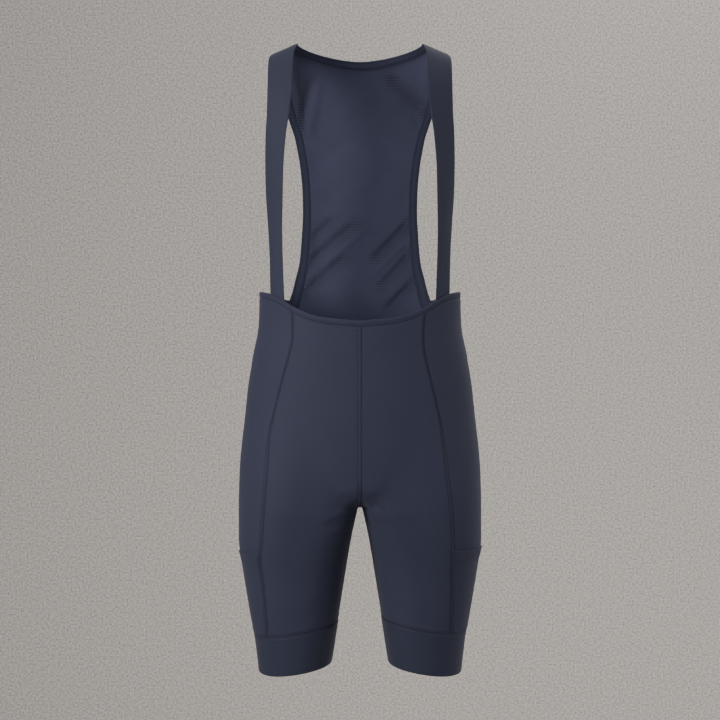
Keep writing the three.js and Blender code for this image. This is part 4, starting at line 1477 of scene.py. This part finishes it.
# darker colour where the attribute holds painted shade of seam furrows and rib valleys
loss = math_node(painted_shade_group, "MULTIPLY", given["Seam"], given["Darkness"])
keep = math_node(painted_shade_group, "SUBTRACT", 1.0, loss)
darker = add_node(painted_shade_group, "ShaderNodeVectorMath", set_operation="SCALE", Vector=given["Color"], Scale=keep)
painted_shade_group.links.new(darker.outputs[0], result["Color"])

# %% Fabric material


def fabric(name, color, roughness, sheen, wale, course, depth, dye_amount=0.1):
    """Knitted or woven cloth: dyed colour, painted shade along seam furrows, loops as bump and a soft sheen.
    """
    material = bpy.data.materials.new(name)
    material.use_nodes = True
    tree = material.node_tree
    shader = tree.nodes["Principled BSDF"]
    uv = add_node(tree, "ShaderNodeUVMap", set_uv_map="cloth").outputs["UV"]
    place = add_node(tree, "ShaderNodeTexCoord").outputs["Object"]
    # painted shade of seam furrows and rib valleys, read from the mesh attribute
    seam = add_node(tree, "ShaderNodeAttribute", set_attribute_name="seam").outputs["Fac"]
    dyed = add_node(
        tree, "ShaderNodeGroup", set_node_tree=dye, Color=(*color, 1), Vector=place, Amount=dye_amount,
    )
    # base colour with the painted shade of the seams laid in
    painted_seam_color = add_node(tree, "ShaderNodeGroup", set_node_tree=painted_shade_group, Color=dyed.outputs[0], Seam=seam)
    knit = add_node(tree, "ShaderNodeGroup", set_node_tree=loops, Vector=uv, Wale=wale, Course=course)
    bump = add_node(tree, "ShaderNodeBump", Strength=0.6, Distance=depth, Height=knit.outputs[0])
    tree.links.new(painted_seam_color.outputs[0], shader.inputs["Base Color"])
    tree.links.new(bump.outputs[0], shader.inputs["Normal"])
    shader.inputs["Roughness"].default_value = roughness
    shader.inputs["Specular IOR Level"].default_value = 0.2
    shader.inputs["Sheen Weight"].default_value = sheen
    shader.inputs["Sheen Roughness"].default_value = 0.45
    shader.inputs["Sheen Tint"].default_value = (0.58, 0.58, 0.72, 1)
    return material


FINISHES = {
    "lycra": fabric("stretch_knit", (0.0243, 0.0259, 0.0455), 0.72, 0.1, 0.0007, 0.0006, 0.00010),
    "gripper": fabric("gripper_knit", (0.0215, 0.023, 0.041), 0.66, 0.1, 0.0005, 0.0005, 0.00005),
    "elastic": fabric("binding_knit", (0.026, 0.0275, 0.050), 0.75, 0.1, 0.0009, 0.0008, 0.00012),
    "webbing": fabric("woven_elastic", (0.0250, 0.0265, 0.0445), 0.75, 0.06, 0.0012, 0.0006, 0.00010),
    "mesh": fabric("ribbed_mesh", (0.0435, 0.045, 0.0755), 0.8, 0.12, 0.0016, 0.00128, 0.00022, 0.14),
    "foam": fabric("brushed_pad", (0.021, 0.022, 0.034), 0.9, 0.2, 0.0010, 0.0010, 0.00012),
}
thread_finish = fabric("thread", (0.022, 0.024, 0.042), 0.65, 0.1, 0.0004, 0.0004, 0.00005)
own_finish = {piece.name: thread_finish for piece in thread_pieces}
own_finish[waist_band.name] = FINISHES["lycra"]
for piece in bpy.context.scene.objects:
    if "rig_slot" in piece:
        finish = own_finish.get(piece.name, FINISHES[piece["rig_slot"]])
        piece.data.materials.append(finish)

# %% [markdown]
# ## Stage and light
# The backdrop is a plain grey sweep with a fine grain, far enough behind to catch no shadow. A
# soft light on the left shapes the cloth, as in the photograph. Broad ones in front, on the right,
# behind and above keep the other sides readable, and two more light the backdrop.

# %% Stage
FLOOR = -2.05
WALL = 3.6
HALF_STAGE = 6
BEND = 0.25
bend = np.linspace(0, np.pi / 2, 17)
profile = np.concatenate([
    [(-7.0, FLOOR)],
    np.stack([WALL - BEND + BEND * np.sin(bend), FLOOR + BEND - BEND * np.cos(bend)], -1),
    [(WALL, 4.5)],
])
sweep = stack(np.array([-HALF_STAGE, HALF_STAGE])[None], profile[:, :1], profile[:, 1:])
sweep_index = np.arange(sweep.shape[0] * 2).reshape(-1, 2)
near, far = sweep_index[:-1], sweep_index[1:]
sweep_faces = np.stack([near[:, 0], near[:, 1], far[:, 1], far[:, 0]], -1)
stage_mesh = bpy.data.meshes.new("backdrop")
stage_mesh.from_pydata(sweep.reshape(-1, 3).tolist(), [], sweep_faces.tolist())
stage_mesh.polygons.foreach_set("use_smooth", np.ones(len(sweep_faces), bool))
backdrop = bpy.data.objects.new("backdrop", stage_mesh)
bpy.context.scene.collection.objects.link(backdrop)

paper = bpy.data.materials.new("grey_paper")
paper.use_nodes = True
paper_tree = paper.node_tree
paper_shader = paper_tree.nodes["Principled BSDF"]
paper_place = add_node(paper_tree, "ShaderNodeTexCoord").outputs["Object"]
grain = add_node(
    paper_tree, "ShaderNodeTexNoise", Vector=paper_place, Scale=150.0, Detail=1.0, Roughness=0.6,
).outputs["Fac"]
grain_factor = add_node(paper_tree, "ShaderNodeMapRange", Value=grain).outputs[0]
paper_color = add_node(
    paper_tree, "ShaderNodeMix", set_data_type="RGBA", i0=grain_factor,
    i6=(0.08, 0.074, 0.067, 1), i7=(0.69, 0.635, 0.575, 1),
)
paper_tree.links.new(paper_color.outputs[2], paper_shader.inputs["Base Color"])
paper_shader.inputs["Roughness"].default_value = 0.95
stage_mesh.materials.append(paper)

# %% Lights


def soft_light(name, place, aim, size, power, color=(1, 1, 1)):
    data = bpy.data.lights.new(name, "AREA")
    data.shape = "RECTANGLE"
    data.size, data.size_y = size
    data.energy = power
    data.color = color
    lamp = bpy.data.objects.new(name, data)
    lamp.location = place
    away = np.array(place, float) - np.array(aim, float)
    pitch = math.atan2(math.hypot(away[0], away[1]), away[2])
    lamp.rotation_euler = (pitch, 0, math.atan2(away[1], away[0]) + math.pi / 2)
    lamp.visible_camera = False
    bpy.context.scene.collection.objects.link(lamp)


MIDDLE = (0, 0, -0.45)
soft_light("key_light", (-1.45, -1.35, 0.02), (0, 0, -0.32), (0.9, 0.9), 46)
soft_light("fill_light", (0.1, -3.4, 0.1), MIDDLE, (2.0, 1.6), 30, (0.92, 0.96, 1.08))
soft_light("side_light", (3.0, -0.4, 0.1), MIDDLE, (1.4, 2.0), 45)
soft_light("back_light", (1.6, 2.9, 1.9), MIDDLE, (2.2, 1.6), 45)
soft_light("top_light", (0, -0.6, 2.3), MIDDLE, (2.4, 1.4), 3)
soft_light("backdrop_light", (0.9, 1.2, 2.4), (0.2, WALL, -0.6), (5.0, 1.0), 78)
soft_light("low_backdrop_light", (0.8, 1.2, -1.75), (0.5, WALL, -1.3), (5.0, 0.5), 48)

world = bpy.data.worlds.new("studio")
world.use_nodes = True
world.node_tree.nodes["Background"].inputs["Color"].default_value = (0.9, 0.94, 1.05, 1)
world.node_tree.nodes["Background"].inputs["Strength"].default_value = 0.2
bpy.context.scene.world = world
